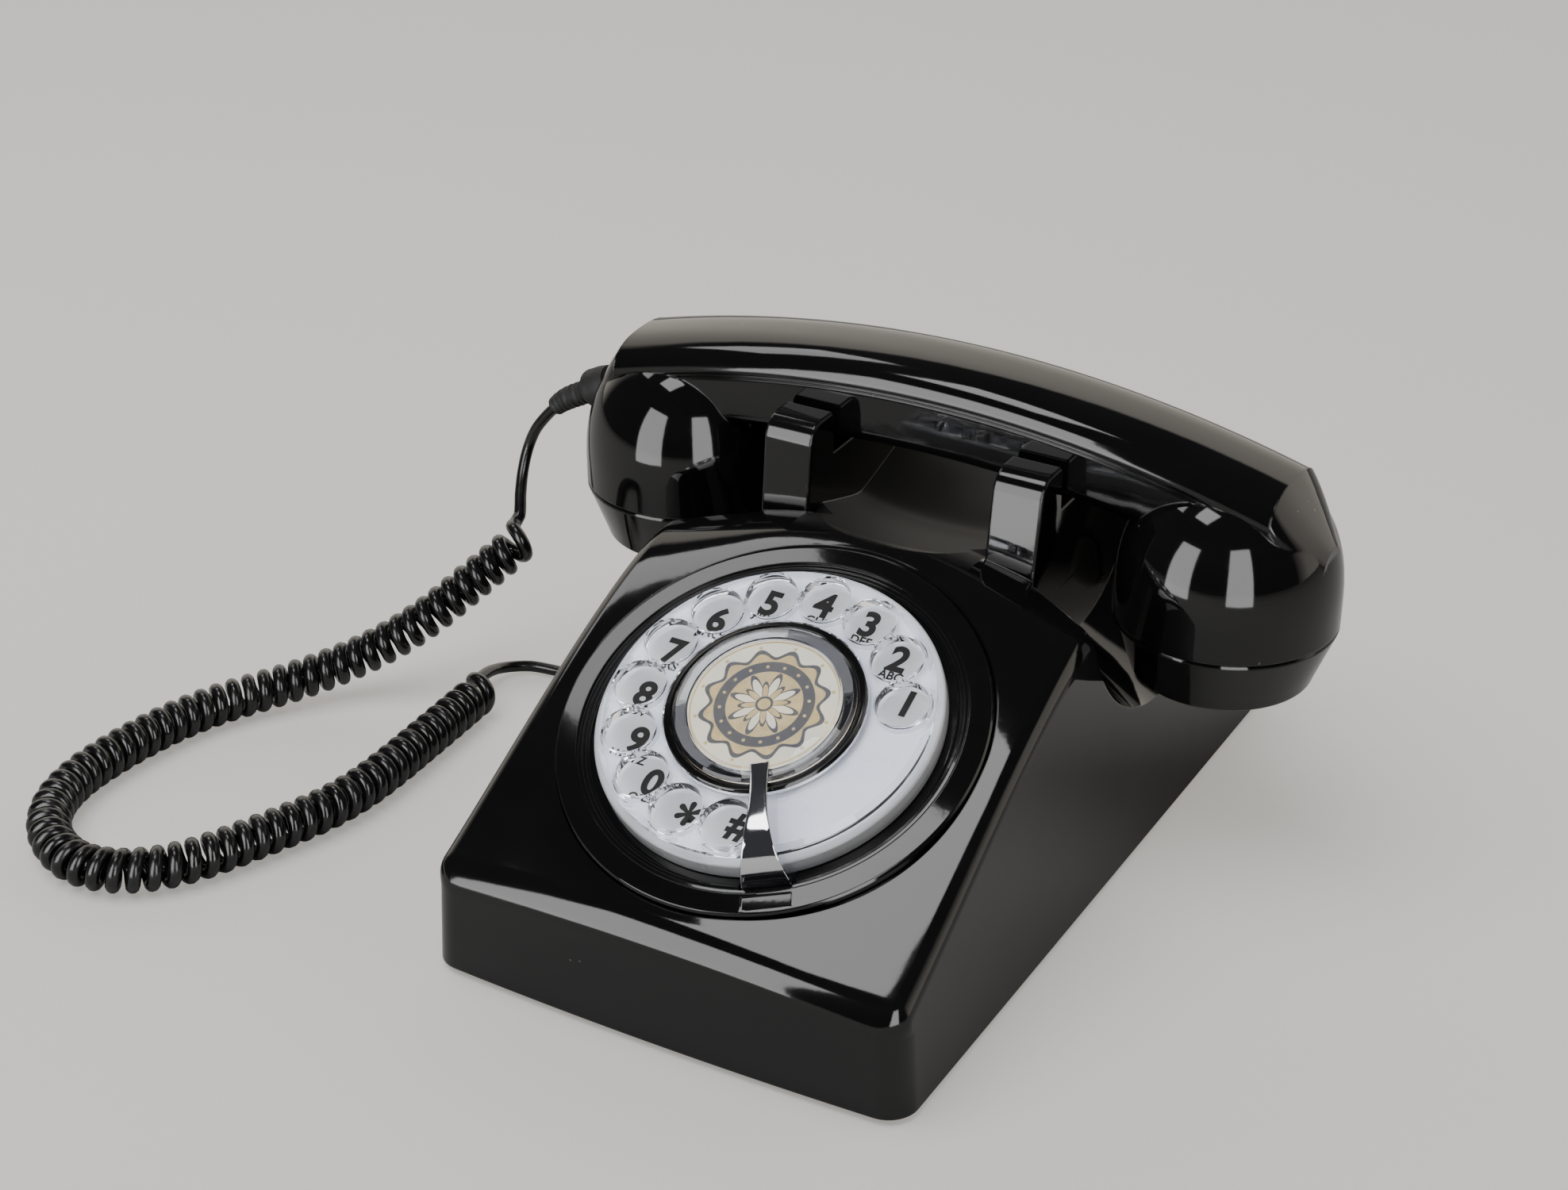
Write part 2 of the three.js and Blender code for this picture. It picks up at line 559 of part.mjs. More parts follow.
/** Fixed parts: bezel ring, number plate, frame with its screws, bridge and finger stop. */
function makeFixedDial() {
  const r = RING_RADIUS;
  const w = WELL_RADIUS;
  const bezel = ring([
    [LEDGE_RADIUS, RING_BOTTOM], [r, RING_BOTTOM], [r, 0.3], [r - 1.2, 1.3],
    [w + 3.4, RING_TOP], [w + 3, RING_TOP - 0.5], [w + 0.6, RING_TOP - 0.6], [w, RING_TOP - 1.2], [w, -GAP],
    [LEDGE_RADIUS, -GAP],
  ], 36);
  const notch = block(LEDGE_RADIUS - 2, -7.4, RING_BOTTOM - 1, w + 1.8, 7.4, RING_TOP + 2).rotateZ(STOP_ANGLE);
  const patch = block(w + 4, -6.6, RING_TOP - 0.6, r - 1.5, 6.6, RING_TOP + 2).rotateZ(STOP_ANGLE);
  add('dial_ring', cut(bezel, notch, patch), BLACK(), dial);

  const skirt = PLATE_RADIUS - PLATE_THICKNESS;
  add('number_plate', ring([
    [PLATE_BORE, PLATE_TOP - PLATE_THICKNESS], [skirt, PLATE_TOP - PLATE_THICKNESS], [skirt, 0],
    [PLATE_RADIUS, 0], [PLATE_RADIUS, PLATE_TOP], [PLATE_BORE, PLATE_TOP],
  ], 28), WHITE(), dial);

  const bottom = FRAME_TOP - FRAME_THICKNESS;
  const arm = roundedPlate(FRAME_RADIUS - 4, -4, EAR_RADIUS + 3.2, 4, 2.5, bottom, FRAME_TOP);
  const arms = EAR_ANGLES.map((a) => arm.clone().rotateZ(degToRad(a)));
  const screwHoles = ears.map(([x, y]) => rod(1.5, bottom - 1, FRAME_TOP + 1, x, y, 8));
  add('dial_frame', cut(union(rod(FRAME_RADIUS, bottom, FRAME_TOP, 0, 0, 20), ...arms), ...screwHoles,
    rod(6.3, bottom - 1, FRAME_TOP + 1, 0, 0, 12)), STEEL(), dial);
  ears.forEach(([x, y], i) => {
    const head = bottom - GAP;
    add(`dial_screw_${i + 1}`, turned([
      [0, head - 1.5], [2, head - 1.5], [2.6, head - 0.9], [2.6, head], [1.1, head], [1.1, -2.3], [0, -2.3],
    ], 6, x, y), STEEL(), dial);
  });

  add('shaft_bush', ring([
    [SHAFT_RADIUS + GAP, bottom - 1.2], [6, bottom - 1.2], [6, FRAME_TOP + GAP], [7.4, FRAME_TOP + GAP],
    [7.4, FRAME_TOP + 1.4], [6, FRAME_TOP + 1.4], [5.2, 3], [SHAFT_RADIUS + GAP, 3],
  ], 12), BRASS(), dial);

  const [gx, gy] = governorPlace;
  const pillars = [[-26, -16], [16, -16], [16, 26], [-26, 26]]
    .map(([x, y]) => rod(2.4, BRIDGE_TOP - 0.5, bottom - GAP, x, y, 6));
  const bridge = roundedPlate(-30, -20, 20, 30, 4, BRIDGE_TOP - BRIDGE_THICKNESS, BRIDGE_TOP);
  add('dial_bridge', cut(union(bridge, ...pillars),
    rod(SHAFT_RADIUS + GAP, BRIDGE_TOP - 3, BRIDGE_TOP + 1, 0, 0, 12),
    rod(1.5 + GAP, BRIDGE_TOP - 3, BRIDGE_TOP + 1, gx, gy, 10)), STEEL(), dial);
  add('return_spring_drum', ring([
    [SHAFT_RADIUS + GAP, BRIDGE_TOP + GAP], [12, BRIDGE_TOP + GAP], [12, BRIDGE_TOP + 8],
    [11, BRIDGE_TOP + 8.6], [SHAFT_RADIUS + GAP, BRIDGE_TOP + 8.6],
  ], 14), STEEL(), dial);
  add('pulse_switch', roundedPlate(21, -5, 33, 6, 1, GEAR_TOP - 3, bottom - GAP), DARK(), dial);
  add('finger_stop', fingerStop(), CHROME(), dial);
}

/** Bent blade that tapers from its wide foot in the ring to its narrow tip over the hub. */
function fingerStop() {
  // distance from the dial's axis, height, width
  const path = [
    [49.9, RING_BOTTOM + GAP, 11], [49.9, 0.5, 13], [49.6, 3, 12.6], [48.8, 7, 11], [46.6, 10.6, 9],
    [43, 12.4, 7.4], [38, 13, 5.8], [32, 12.9, 4.8], [26, 12.6, 4.7], [STOP_TIP, 12.4, 5.2],
  ];
  const rings = path.map(([radius, height, width], i) => {
    const [r0, h0] = path[Math.max(i - 1, 0)];
    const [r1, h1] = path[Math.min(i + 1, path.length - 1)];
    const across = new THREE.Vector2(h1 - h0, r0 - r1).normalize().multiplyScalar(STOP_THICKNESS / 2);
    return [[-1, -1], [1, -1], [1, 1], [-1, 1]].map(([side, up]) => new THREE.Vector3(
      radius + across.x * up, side * width / 2, height + across.y * up));
  });
  return loft(rings).rotateZ(STOP_ANGLE);
}

/** Spur gear blank with straight-flanked teeth, the first of them turned to the given angle. */
function gear(teeth, bore, z0, z1, turn) {
  const radius = GEAR_MODULE * teeth / 2;
  const half = Math.PI / teeth / 2;
  const shape = new THREE.Shape();
  for (let i = 0; i < teeth; i += 1) {
    const a = turn + 2 * Math.PI * i / teeth;
    const corners = [[-1.25 * half, -1.15], [-0.45 * half, 0.75], [0.45 * half, 0.75], [1.25 * half, -1.15]];
    for (const [da, dr] of corners) {
      const r = radius + dr * GEAR_MODULE;
      const p = [r * Math.cos(a + da), r * Math.sin(a + da)];
      if (shape.curves.length || shape.currentPoint.lengthSq() > 0) shape.lineTo(...p);
      else shape.moveTo(...p);
    }
  }
  if (bore) shape.holes.push(new THREE.Path().absarc(0, 0, bore, 0, 2 * Math.PI));
  const geometry = new THREE.ExtrudeGeometry(shape, { depth: z1 - z0, bevelEnabled: false, curveSegments: 8 });
  return geometry.translate(0, 0, z0);
}

const governorDistance = GEAR_MODULE * (MAIN_TEETH + PINION_TEETH) / 2 + 0.2;
const governorPlace = [Math.cos(GOVERNOR_ANGLE), Math.sin(GOVERNOR_ANGLE)].map((v) => v * governorDistance);

/** The turning parts: clear finger wheel, hub, label, shaft and main gear. */
function makeTurningDial() {
  const web = HUB_FLOOR - GAP;
  const rim = HUB_RADIUS + GAP;
  const disc = ring([
    [SHAFT_RADIUS + GAP, WHEEL_BOTTOM], [WHEEL_RADIUS - 0.6, WHEEL_BOTTOM], [WHEEL_RADIUS, WHEEL_BOTTOM + 0.6],
    [WHEEL_RADIUS, WHEEL_TOP - 1.6], [WHEEL_RADIUS - 1.4, WHEEL_TOP], [rim, WHEEL_TOP], [rim, web],
    [SHAFT_RADIUS + GAP, web],
  ], 36);
  const holes = Array.from({ length: HOLE_COUNT }, (_, i) => {
    const a = FIRST_HOLE + i * HOLE_PITCH;
    const [x, y] = [HOLE_CIRCLE * Math.cos(a), HOLE_CIRCLE * Math.sin(a)];
    return rod(HOLE_RADIUS, WHEEL_BOTTOM - 1, WHEEL_TOP + 1, x, y, 12);
  });
  add('finger_wheel', cut(disc, ...holes), CLEAR(), dial);

  const lip = CAP_HUB_RADIUS + GAP;
  const seat = HUB_FLOOR + 1.2;
  add('hub_ring', ring([
    [SHAFT_RADIUS + GAP, HUB_FLOOR], [HUB_RADIUS, HUB_FLOOR], [HUB_RADIUS, WHEEL_TOP],
    [HUB_RADIUS - 0.4, WHEEL_TOP + 0.4], [lip + 0.3, WHEEL_TOP + 0.4], [lip, WHEEL_TOP],
    [lip, seat], [SHAFT_RADIUS + GAP, seat],
  ], 20), BLACK(), dial);
  add('hub_label', rod(LABEL_RADIUS, seat + GAP, seat + 2 * GAP, 0, 0, 20), GOLD(), dial);
  add('hub_cap', turned([
    [0, seat + 3 * GAP], [LABEL_RADIUS + GAP, seat + 3 * GAP], [LABEL_RADIUS + GAP, seat + GAP],
    [CAP_HUB_RADIUS, seat + GAP], [CAP_HUB_RADIUS, CAP_HUB_TOP - 1.2],
    [CAP_HUB_RADIUS - 0.8, CAP_HUB_TOP - 0.5], [LABEL_RADIUS, CAP_HUB_TOP - 0.1], [0, CAP_HUB_TOP],
  ], 20), CLEAR(), dial);
  const low = BRIDGE_TOP - BRIDGE_THICKNESS;
  add('dial_shaft', turned([[0, low], [SHAFT_RADIUS, low], [SHAFT_RADIUS, seat], [0, seat]], 12), STEEL(), dial);
  const mainGear = gear(MAIN_TEETH, SHAFT_RADIUS + GAP, GEAR_TOP - GEAR_THICKNESS, GEAR_TOP, GOVERNOR_ANGLE);
  add('main_gear', mainGear, BRASS(), dial);
}

/** The governor: a pinion on a thin shaft that whirls a bar with two weights. */
function makeGovernor() {
  const low = BRIDGE_TOP + 5;
  // a gap of the pinion faces a tooth of the main gear
  const facing = GOVERNOR_ANGLE + Math.PI + Math.PI / PINION_TEETH;
  const body = union(
    rod(1.5, BRIDGE_TOP - BRIDGE_THICKNESS, FRAME_TOP - FRAME_THICKNESS - GAP, 0, 0, 8),
    gear(PINION_TEETH, 0, GEAR_TOP - GEAR_THICKNESS, GEAR_TOP, facing),
    roundedPlate(-8, -2, 8, 2, 1.9, low, low + 1.5),
    rod(2.6, low - 1, low + 3.5, -6, 0, 8),
    rod(2.6, low - 1, low + 3.5, 6, 0, 8),
  );
  add('governor', body, BRASS(), dial).position.set(...governorPlace, 0);
}

makeFixedDial();
makeTurningDial();
makeGovernor();

// ---------------------------------------------------------------- handset

/** Section of the grip at x as [y from its axis, z] points, its walls moved out by grow. */
function gripSection(x, grow) {
  const reach = Math.abs(x);
  const sag = GRIP_SAG * x * x;
  const past = clamp((reach - GRIP_CORNER) / (GRIP_END - GRIP_CORNER), 0, 1);
  const full = GRIP_HALF_WIDTH + grow;
  const half = full - (full - GRIP_END_HALF - grow) * past ** 1.6;
  const cornerTop = GRIP_TOP - GRIP_SAG * GRIP_CORNER ** 2;
  const top = (reach < GRIP_CORNER ? GRIP_TOP - sag : lerp(cornerTop, GRIP_END_Z + BAND_HEIGHT, past)) + grow;
  const falling = Math.max(reach - GRIP_TURN, 0) / (GRIP_END - GRIP_TURN);
  const under = GRIP_BOTTOM - GRIP_SAG * Math.min(reach, GRIP_TURN) ** 2;
  const low = lerp(under, GRIP_LOW_END, falling) - grow;
  const band = top - BAND_HEIGHT - grow;
  const panel = half - PANEL_RECESS;
  const edge = Math.min(GRIP_EDGE, (band - low) / 2);
  const crown = arc(0, 0, 1, 0, 180, 6).map(([c, s]) => [half * Math.sign(c) * Math.abs(c) ** 0.75,
    band + (top - band) * s]);
  return [
    ...crown, [-panel, band - 0.6], ...arc(-panel + edge, low + edge, edge, 180, 270, 2),
    ...arc(panel - edge, low + edge, edge, 270, 360, 2), [panel, band - 0.6],
  ];
}

/** The grip as a loft along its length, between two stations at -end and end. */
function grip(grow, end) {
  const inner = [0, 21, 42, 62, 82, 94, GRIP_CORNER, 105, 109, GRIP_END].filter((x) => x < end - 0.5);
  const reaches = [...inner, end];
  const stations = [...reaches.slice(1).map((x) => -x).reverse(), ...reaches];
  return solidOf(loft(stations.map((x) => gripSection(x, grow)
    .map(([y, z]) => new THREE.Vector3(x, CRADLE_Y + y, z)))));
}

/** One of the two domes over the cups, down to a given height. */
function dome(side, grow, bottom, segments = 24) {
  const profile = [[0, bottom], [CUP_RADIUS + grow, bottom], [CUP_RADIUS + grow, DOME_BASE]];
  for (const t of [0.35, 0.58, 0.76, 0.9, 0.97, 1]) {
    const r = (CUP_RADIUS + grow) * Math.max(1 - t ** DOME_POWER, 0) ** (1 / DOME_POWER);
    profile.push([r, DOME_BASE + (DOME_HEIGHT + grow) * t]);
  }
  return solidOf(turned(profile, segments, side * CUP_X, CRADLE_Y));
}

const handsetForm = (grow, end, bottom) => (
  union(grip(grow, end), ...[-1, 1].map((side) => dome(side, grow, bottom))));

/** Rings of points across a path in the XZ plane over the cradle's line, from [x, z, radius] rows. */
function bentRod(rows, sides) {
  return loft(rows.map(([x, z, radius], i) => {
    const [x0, z0] = rows[Math.max(i - 1, 0)];
    const [x1, z1] = rows[Math.min(i + 1, rows.length - 1)];
    const along = new THREE.Vector2(x1 - x0, z1 - z0).normalize();
    return arc(0, 0, radius, 0, 360 - 360 / sides, sides - 1)
      .map(([u, v]) => new THREE.Vector3(x - along.y * u, CRADLE_Y + v, z + along.x * u));
  }));
}

/** Rows for a bent rod, given as [distance past the grip's left end, height above its point, radius]. */
const pastEnd = (rows) => rows.map(([past, above, radius]) => [-GRIP_END - past, GRIP_END_Z + above, radius]);

function makeHandset() {
  const hollow = union(
    grip(-SHELL_WALL, GRIP_CORNER),
    ...[-1, 1].map((side) => dome(side, -SHELL_WALL, SEAM_Z - 1, 14)),
  );
  const plugHole = bentRod(pastEnd([[-10.5, 9, PLUG_RADIUS + GAP], [4.5, 1.2, PLUG_RADIUS + GAP]]), 8);
  add('handset_shell', largest(cut(handsetForm(0, GRIP_END, SEAM_Z), hollow, plugHole)).simplify(0.1), BLACK());

  for (const [name, side, circle, count] of [['mouth_cap', -1, 8, 7], ['ear_cap', 1, 11, 8]]) {
    const top = SEAM_Z - GAP;
    const r = CUP_RADIUS;
    const w = SHELL_WALL;
    const body = turned([
      [0, CAP_BOTTOM], [CAP_RADIUS - 3, CAP_BOTTOM], [CAP_RADIUS - 0.9, CAP_BOTTOM + 0.9],
      [CAP_RADIUS, CAP_BOTTOM + 3], [r, top - 0.6], [r - 0.3, top], [r - w, top],
      [CAP_RADIUS - w - 1, CAP_BOTTOM + w], [0, CAP_BOTTOM + w],
    ], 24, side * CUP_X, CRADLE_Y);
    const holes = Array.from({ length: count }, (_, i) => {
      const a = 2 * Math.PI * i / count;
      return rod(1.5, CAP_BOTTOM - 1, CAP_BOTTOM + w + 1, side * CUP_X + circle * Math.cos(a),
        CRADLE_Y + circle * Math.sin(a), 6);
    });
    add(name, cut(body, ...holes), BLACK());
  }
  const seat = CAP_BOTTOM + SHELL_WALL + GAP;
  add('receiver', turned([
    [0, seat], [21, seat], [21, seat + 3], [15, seat + 4.5], [15, seat + 10], [0, seat + 10],
  ], 18, CUP_X, CRADLE_Y), STEEL());
  add('microphone', turned([
    [0, seat], [12, seat], [12, seat + 6], [11, seat + 7], [0, seat + 7],
  ], 16, -CUP_X, CRADLE_Y), DARK());
  const floor = GRIP_BOTTOM + SHELL_WALL + GAP + 0.1;
  const across = GRIP_HALF_WIDTH / 2;
  const weight = roundedPlate(-32, CRADLE_Y - across, 32, CRADLE_Y + across, 2, floor, floor + WEIGHT_HEIGHT);
  add('handset_weight', weight, STEEL());

  const flange = bentRod(pastEnd([
    [-3.5, 6, 5.4], [3, 2.6, 5.8], [5.7, 1.2, 5.6], [6.9, 0.6, 4], [10, -1.2, 3.7],
    [14, -3.4, 3.7], [17.1, -5.6, 3.4], [19.1, -7.4, 3.1],
  ]), 10);
  const plug = bentRod(pastEnd([[-6.5, 6.9, PLUG_RADIUS], [3.5, 1.7, PLUG_RADIUS]]), 8);
  add('cord_boot', largest(union(cut(flange, handsetForm(GAP, GRIP_END + GAP, SEAM_Z)), plug)), RUBBER());
}

makeHandset();

// ---------------------------------------------------------------- base and what it carries

function makeBase() {
  const inset = WALL + 1.2;
  const x = WIDTH / 2 - inset;
  const y = DEPTH / 2 - inset;
  const slots = [0, 1, 2, 3].map((i) => block(
    -16, SPEAKER_Y - 15.5 + 9 * i, BASE_BOTTOM - 1, 16, SPEAKER_Y - 12.5 + 9 * i, BASE_TOP + 1,
  ));
  const holes = POSTS.map(([px, py]) => rod(SCREW_RADIUS + GAP, BASE_BOTTOM - 1, BASE_TOP + 1, px, py, 8));
  const boardFront = BOARD_REAR - BOARD_DEPTH;
  const boardHalf = WIDTH / 2 - BOARD_INSET;
  const board = BASE_TOP + 1.5;
  const standoffs = [
    [-boardHalf + 6, boardFront + 4], [boardHalf - 6, boardFront + 4],
    [-boardHalf + 6, BOARD_REAR - 4], [JACK_X - 12, BOARD_REAR - 4],
  ].map(([px, py]) => rod(3, BASE_TOP - 0.5, board, px, py, 10));
  const plate = roundedPlate(-x, APRON_BOW - y, x, y, 6, BASE_BOTTOM, BASE_TOP);
  add('base_plate', cut(union(plate, ...standoffs), ...slots, ...holes), DARK());
  FEET.forEach(([px, py], i) => add(`foot_${i + 1}`, turned([
    [0, 0], [FOOT_RADIUS - 0.6, 0], [FOOT_RADIUS, 0.6], [FOOT_RADIUS, BASE_BOTTOM], [0, BASE_BOTTOM],
  ], 12, px, py), RUBBER()));
  POSTS.forEach(([px, py], i) => add(`base_screw_${i + 1}`, turned([
    [0, BASE_BOTTOM - GAP - 1.2], [2.4, BASE_BOTTOM - GAP - 1.2], [3.2, BASE_BOTTOM - GAP - 0.6],
    [3.2, BASE_BOTTOM - GAP], [SCREW_RADIUS, BASE_BOTTOM - GAP],
    [SCREW_RADIUS, BASE_TOP + 9], [0, BASE_TOP + 9.6],
  ], 6, px, py), STEEL()));

  const deck = board + BOARD_THICKNESS;
  add('circuit_board', roundedPlate(-boardHalf, boardFront, boardHalf, BOARD_REAR, 1, board, deck), BOARD());
  // middle, distance behind the board's front edge, width, depth, height
  const chips = [[-24, 10, 16, 10, 2.4], [2, 12, 9, 9, 1.8]];
  chips.forEach(([px, behind, w, d, h], i) => {
    const py = boardFront + behind;
    add(`chip_${i + 1}`, block(px - w / 2, py - d / 2, deck, px + w / 2, py + d / 2, deck + h), DARK());
  });
  add('capacitor', turned([
    [0, deck], [4, deck], [4, deck + 10], [3.4, deck + 10.6], [0, deck + 10.6],
  ], 12, 24, boardFront + 12), STEEL());
  const back = DEPTH / 2;
  add('line_jack', cut(block(JACK_X - 5.7, back - 15, deck, JACK_X + 5.7, back - 0.6, 19.6),
    block(JACK_X - 4.6, back - 12, deck + 1.6, JACK_X + 4.6, back + 1, 16.4),
    block(JACK_X - 2, back - 12, 16, JACK_X + 2, back + 1, 18.2)), DARK());
  add('speaker', turned([
    [0, BASE_TOP], [SPEAKER_RADIUS, BASE_TOP], [SPEAKER_RADIUS, BASE_TOP + 2.4],
    [18, BASE_TOP + 8], [12, BASE_TOP + 8], [12, BASE_TOP + 13], [0, BASE_TOP + 13],
  ], 18, 0, SPEAKER_Y), STEEL());
  const ballastHalf = WIDTH / 2 - BALLAST_INSET;
  add('ballast', roundedPlate(
    -ballastHalf, BALLAST_FRONT, ballastHalf, BALLAST_FRONT + BALLAST_DEPTH, 3, BASE_TOP, BASE_TOP + 7,
  ), STEEL());

  const neck = WIDTH / 2;
  add('base_grommet', turned([
    [0, -neck - 2.4], [5, -neck - 2.4], [6, -neck - 1.6], [6, -neck - 0.1],
    [GROMMET_NECK, -neck - 0.1], [GROMMET_NECK, -neck + 4.4],
    [5.8, -neck + 4.4], [5.8, -neck + 5.8], [0, -neck + 5.8],
  ], 10).rotateY(Math.PI / 2).translate(0, SOCKET_Y, SOCKET_Z), RUBBER());
}

/** Two plungers in the saddles, the lever they rest on, its bracket and the switch it presses. */
function makeHookSwitch() {
  const floor = GRIP_BOTTOM - GRIP_SAG * PLUNGER_X ** 2 - LIFT_CLEARANCE;
  for (const [name, side] of [['hook_plunger_left', -1], ['hook_plunger_right', 1]]) {
    const r = PLUNGER_RADIUS;
    add(name, turned([
      [0, LEVER_TOP + GAP], [2, LEVER_TOP + GAP], [2, LEVER_TOP + 6], [4.6, LEVER_TOP + 6],
      [4.6, LEVER_TOP + 8], [r, LEVER_TOP + 8], [r, floor - 1.6], [r - 1, floor - 0.6], [0, floor - 0.2],
    ], 10, side * PLUNGER_X, CRADLE_Y), BLACK());
  }
  const low = LEVER_TOP - LEVER_THICKNESS;
  const pivotZ = (LEVER_TOP + low) / 2 + 0.5;
  const across = (shape, half) => shape.rotateY(Math.PI / 2).translate(-half, PIVOT_Y, pivotZ);
  const knuckleHalf = BRACKET_IN - 0.5;
  const knuckle = across(rod(3.4, 0, 2 * knuckleHalf, 0, 0, 16), knuckleHalf);
  add('hook_lever', cut(union(
    knuckle,
    block(-18, CRADLE_Y + 2, low, 18, PIVOT_Y - 2, LEVER_TOP),
    roundedPlate(-38, CRADLE_Y - 2.5, 38, CRADLE_Y + 4.5, 1.5, low, LEVER_TOP),
  ), across(rod(PIVOT_RADIUS + GAP, -1, 2 * BRACKET_IN, 0, 0, 12), BRACKET_IN)), STEEL());
  const pinHalf = BRACKET_IN + 3;
  add('hook_pin', across(rod(PIVOT_RADIUS, 0, 2 * pinHalf, 0, 0, 12), pinHalf), STEEL());

  const sheet = 1.5;
  const uprights = [-1, 1].map((side) => block(
    side * BRACKET_IN, PIVOT_Y - 9, BASE_TOP + sheet / 2,
    side * (BRACKET_IN + sheet), PIVOT_Y + 7, pivotZ + 5,
  ));
  const shelf = low - 12;
  add('hook_bracket', cut(union(
    ...uprights,
    block(-BRACKET_IN - 6, PIVOT_Y - 10, BASE_TOP, BRACKET_IN + 6, PIVOT_Y + 8, BASE_TOP + sheet),
    block(-BRACKET_IN - sheet / 2, CRADLE_Y + 4, shelf - sheet, BRACKET_IN + sheet / 2, PIVOT_Y + 6, shelf),
  ), across(rod(PIVOT_RADIUS + GAP, -1, 2 * pinHalf + 2, 0, 0, 12), pinHalf + 1)), STEEL());
  add('hook_switch', union(
    roundedPlate(-10, CRADLE_Y + 7, 10, CRADLE_Y + 15, 1, shelf, low - 2),
    rod(1.4, low - 3, low - GAP, 4, CRADLE_Y + 11, 10),
  ), DARK());
}

makeBase();
makeHookSwitch();

// ---------------------------------------------------------------- handset cord

const HANDSET_LEAD = [
  [-132.8, 41.5, 84.2], [-136, 41.4, 80.8], [-140.4, 40.3, 74.5], [-143.2, 38.4, 66.6], [-142.8, 36.6, 61.4],
  [-140.2, 35.9, 58.8], [-136.8, 35.2, 57.4],
];
const CURL_LINE = [
  [-134.6, 28.4, 51.4], [-134.6, 24.2, 48], [-136.4, 19.5, 44.6], [-139.8, 15.3, 40.8],
  [-144.6, 10, 35.8], [-149.6, 4, 30.4], [-155.2, -1.6, 25], [-161.8, -7, 19.8],
  [-169.4, -13.4, 15], [-178, -21.4, 11], [-186, -30, 8.4], [-192.6, -38.6, 7.2],
  [-198.2, -48.6, 6.9], [-202.6, -60.4, 6.8], [-205.6, -74, 6.8], [-207.2, -88, 6.8],
  [-207.2, -101, 6.8], [-204.4, -113.4, 6.8], [-197.8, -124.2, 6.8], [-188.2, -131.6, 6.8],
  [-177.6, -134.8, 6.8], [-167.2, -133, 6.8], [-158.6, -127.4, 6.8], [-152.2, -119.8, 6.8],
  [-147.6, -111.4, 6.8], [-143.6, -102, 6.8], [-138.8, -90.2, 6.8], [-134.8, -78.2, 6.8],
  [-132.6, -65.2, 6.8], [-132.2, -50.5, 6.8], [-132.6, -36, 6.8], [-133.2, -19, 6.8],
  [-133.8, -5.4, 6.8], [-134.4, 3, 6.8],
];
const BASE_LEAD = [
  [-135.6, 11, 6], [-138.2, 16, 4.4], [-139.2, 20.4, 3.2], [-135.8, 23.4, 2.6], [-128, 24, 2.4],
  [-114, 25, 2.4], [-98, 27.5, 3.2], [-87, 31, 6.5], [-80, 34, 10.4], [-75.6, 35, 12],
];

/** Points along the curled wire: it leaves the coil's axis at each end and whirls about it in between. */
function curledWire() {
  const line = new THREE.CatmullRomCurve3(CURL_LINE.map((p) => new THREE.Vector3(...p)), false, 'centripetal');
  const count = CURLS * CURL_STEPS;
  const up = new THREE.Vector3(0, 0, 1);
  const wire = [];
  for (let i = 0; i <= count; i += 1) {
    const turns = i / CURL_STEPS;
    const grown = smooth(clamp(Math.min(turns, CURLS - turns) / 0.9, 0, 1));
    const u = i / count;
    const middle = line.getPointAt(u);
    const along = line.getTangentAt(u);
    const side = new THREE.Vector3().crossVectors(along, up).normalize();
    const lift = new THREE.Vector3().crossVectors(side, along);
    const a = 2 * Math.PI * turns;
    wire.push(middle.addScaledVector(side, CURL_RADIUS * grown * Math.cos(a))
      .addScaledVector(lift, CURL_RADIUS * grown * Math.sin(a)));
  }
  const head = line.getTangentAt(0).multiplyScalar(-2 * WIRE_RADIUS).add(wire[0]);
  const tail = line.getTangentAt(1).multiplyScalar(2 * WIRE_RADIUS).add(wire[count]);
  return [head, ...wire, tail];
}

/** Rings of the tube about the wire, each in the plane between its two stretches. */
function wireRings(wire) {
  let normal = new THREE.Vector3(0, 0, 1);
  return wire.map((p, i) => {
    const before = wire[Math.max(i - 1, 0)];
    const after = wire[Math.min(i + 1, wire.length - 1)];
    // the two straight ends keep the direction of their stretch
    const end = i < 2 ? 0 : i > wire.length - 3 ? wire.length - 2 : -1;
    const stretch = end < 0 ? [before, after] : [wire[end], wire[end + 1]];
    const along = stretch[1].clone().sub(stretch[0]).normalize();
    normal = normal.clone().addScaledVector(along, -normal.dot(along)).normalize();
    const other = new THREE.Vector3().crossVectors(along, normal);
    return arc(0, 0, WIRE_RADIUS, 0, 360 - 360 / CURL_SIDES, CURL_SIDES - 1)
      .map(([u, v]) => p.clone().addScaledVector(normal, u).addScaledVector(other, v));
  });
}

/** Least distance between the tube's surfaces at points three quarters of a turn or more apart. */
function leastSelfGap(wire) {
  let least = Infinity;
  for (let i = 0; i < wire.length; i += 1) {
    for (let j = i + Math.floor(0.75 * CURL_STEPS); j < Math.min(i + 3 * CURL_STEPS, wire.length - 1); j += 1) {
      for (const t of [0, 0.25, 0.5, 0.75]) {
        least = Math.min(least, wire[i].distanceTo(wire[j].clone().lerp(wire[j + 1], t)));
      }
    }
  }
  return least - 2 * WIRE_RADIUS;
}

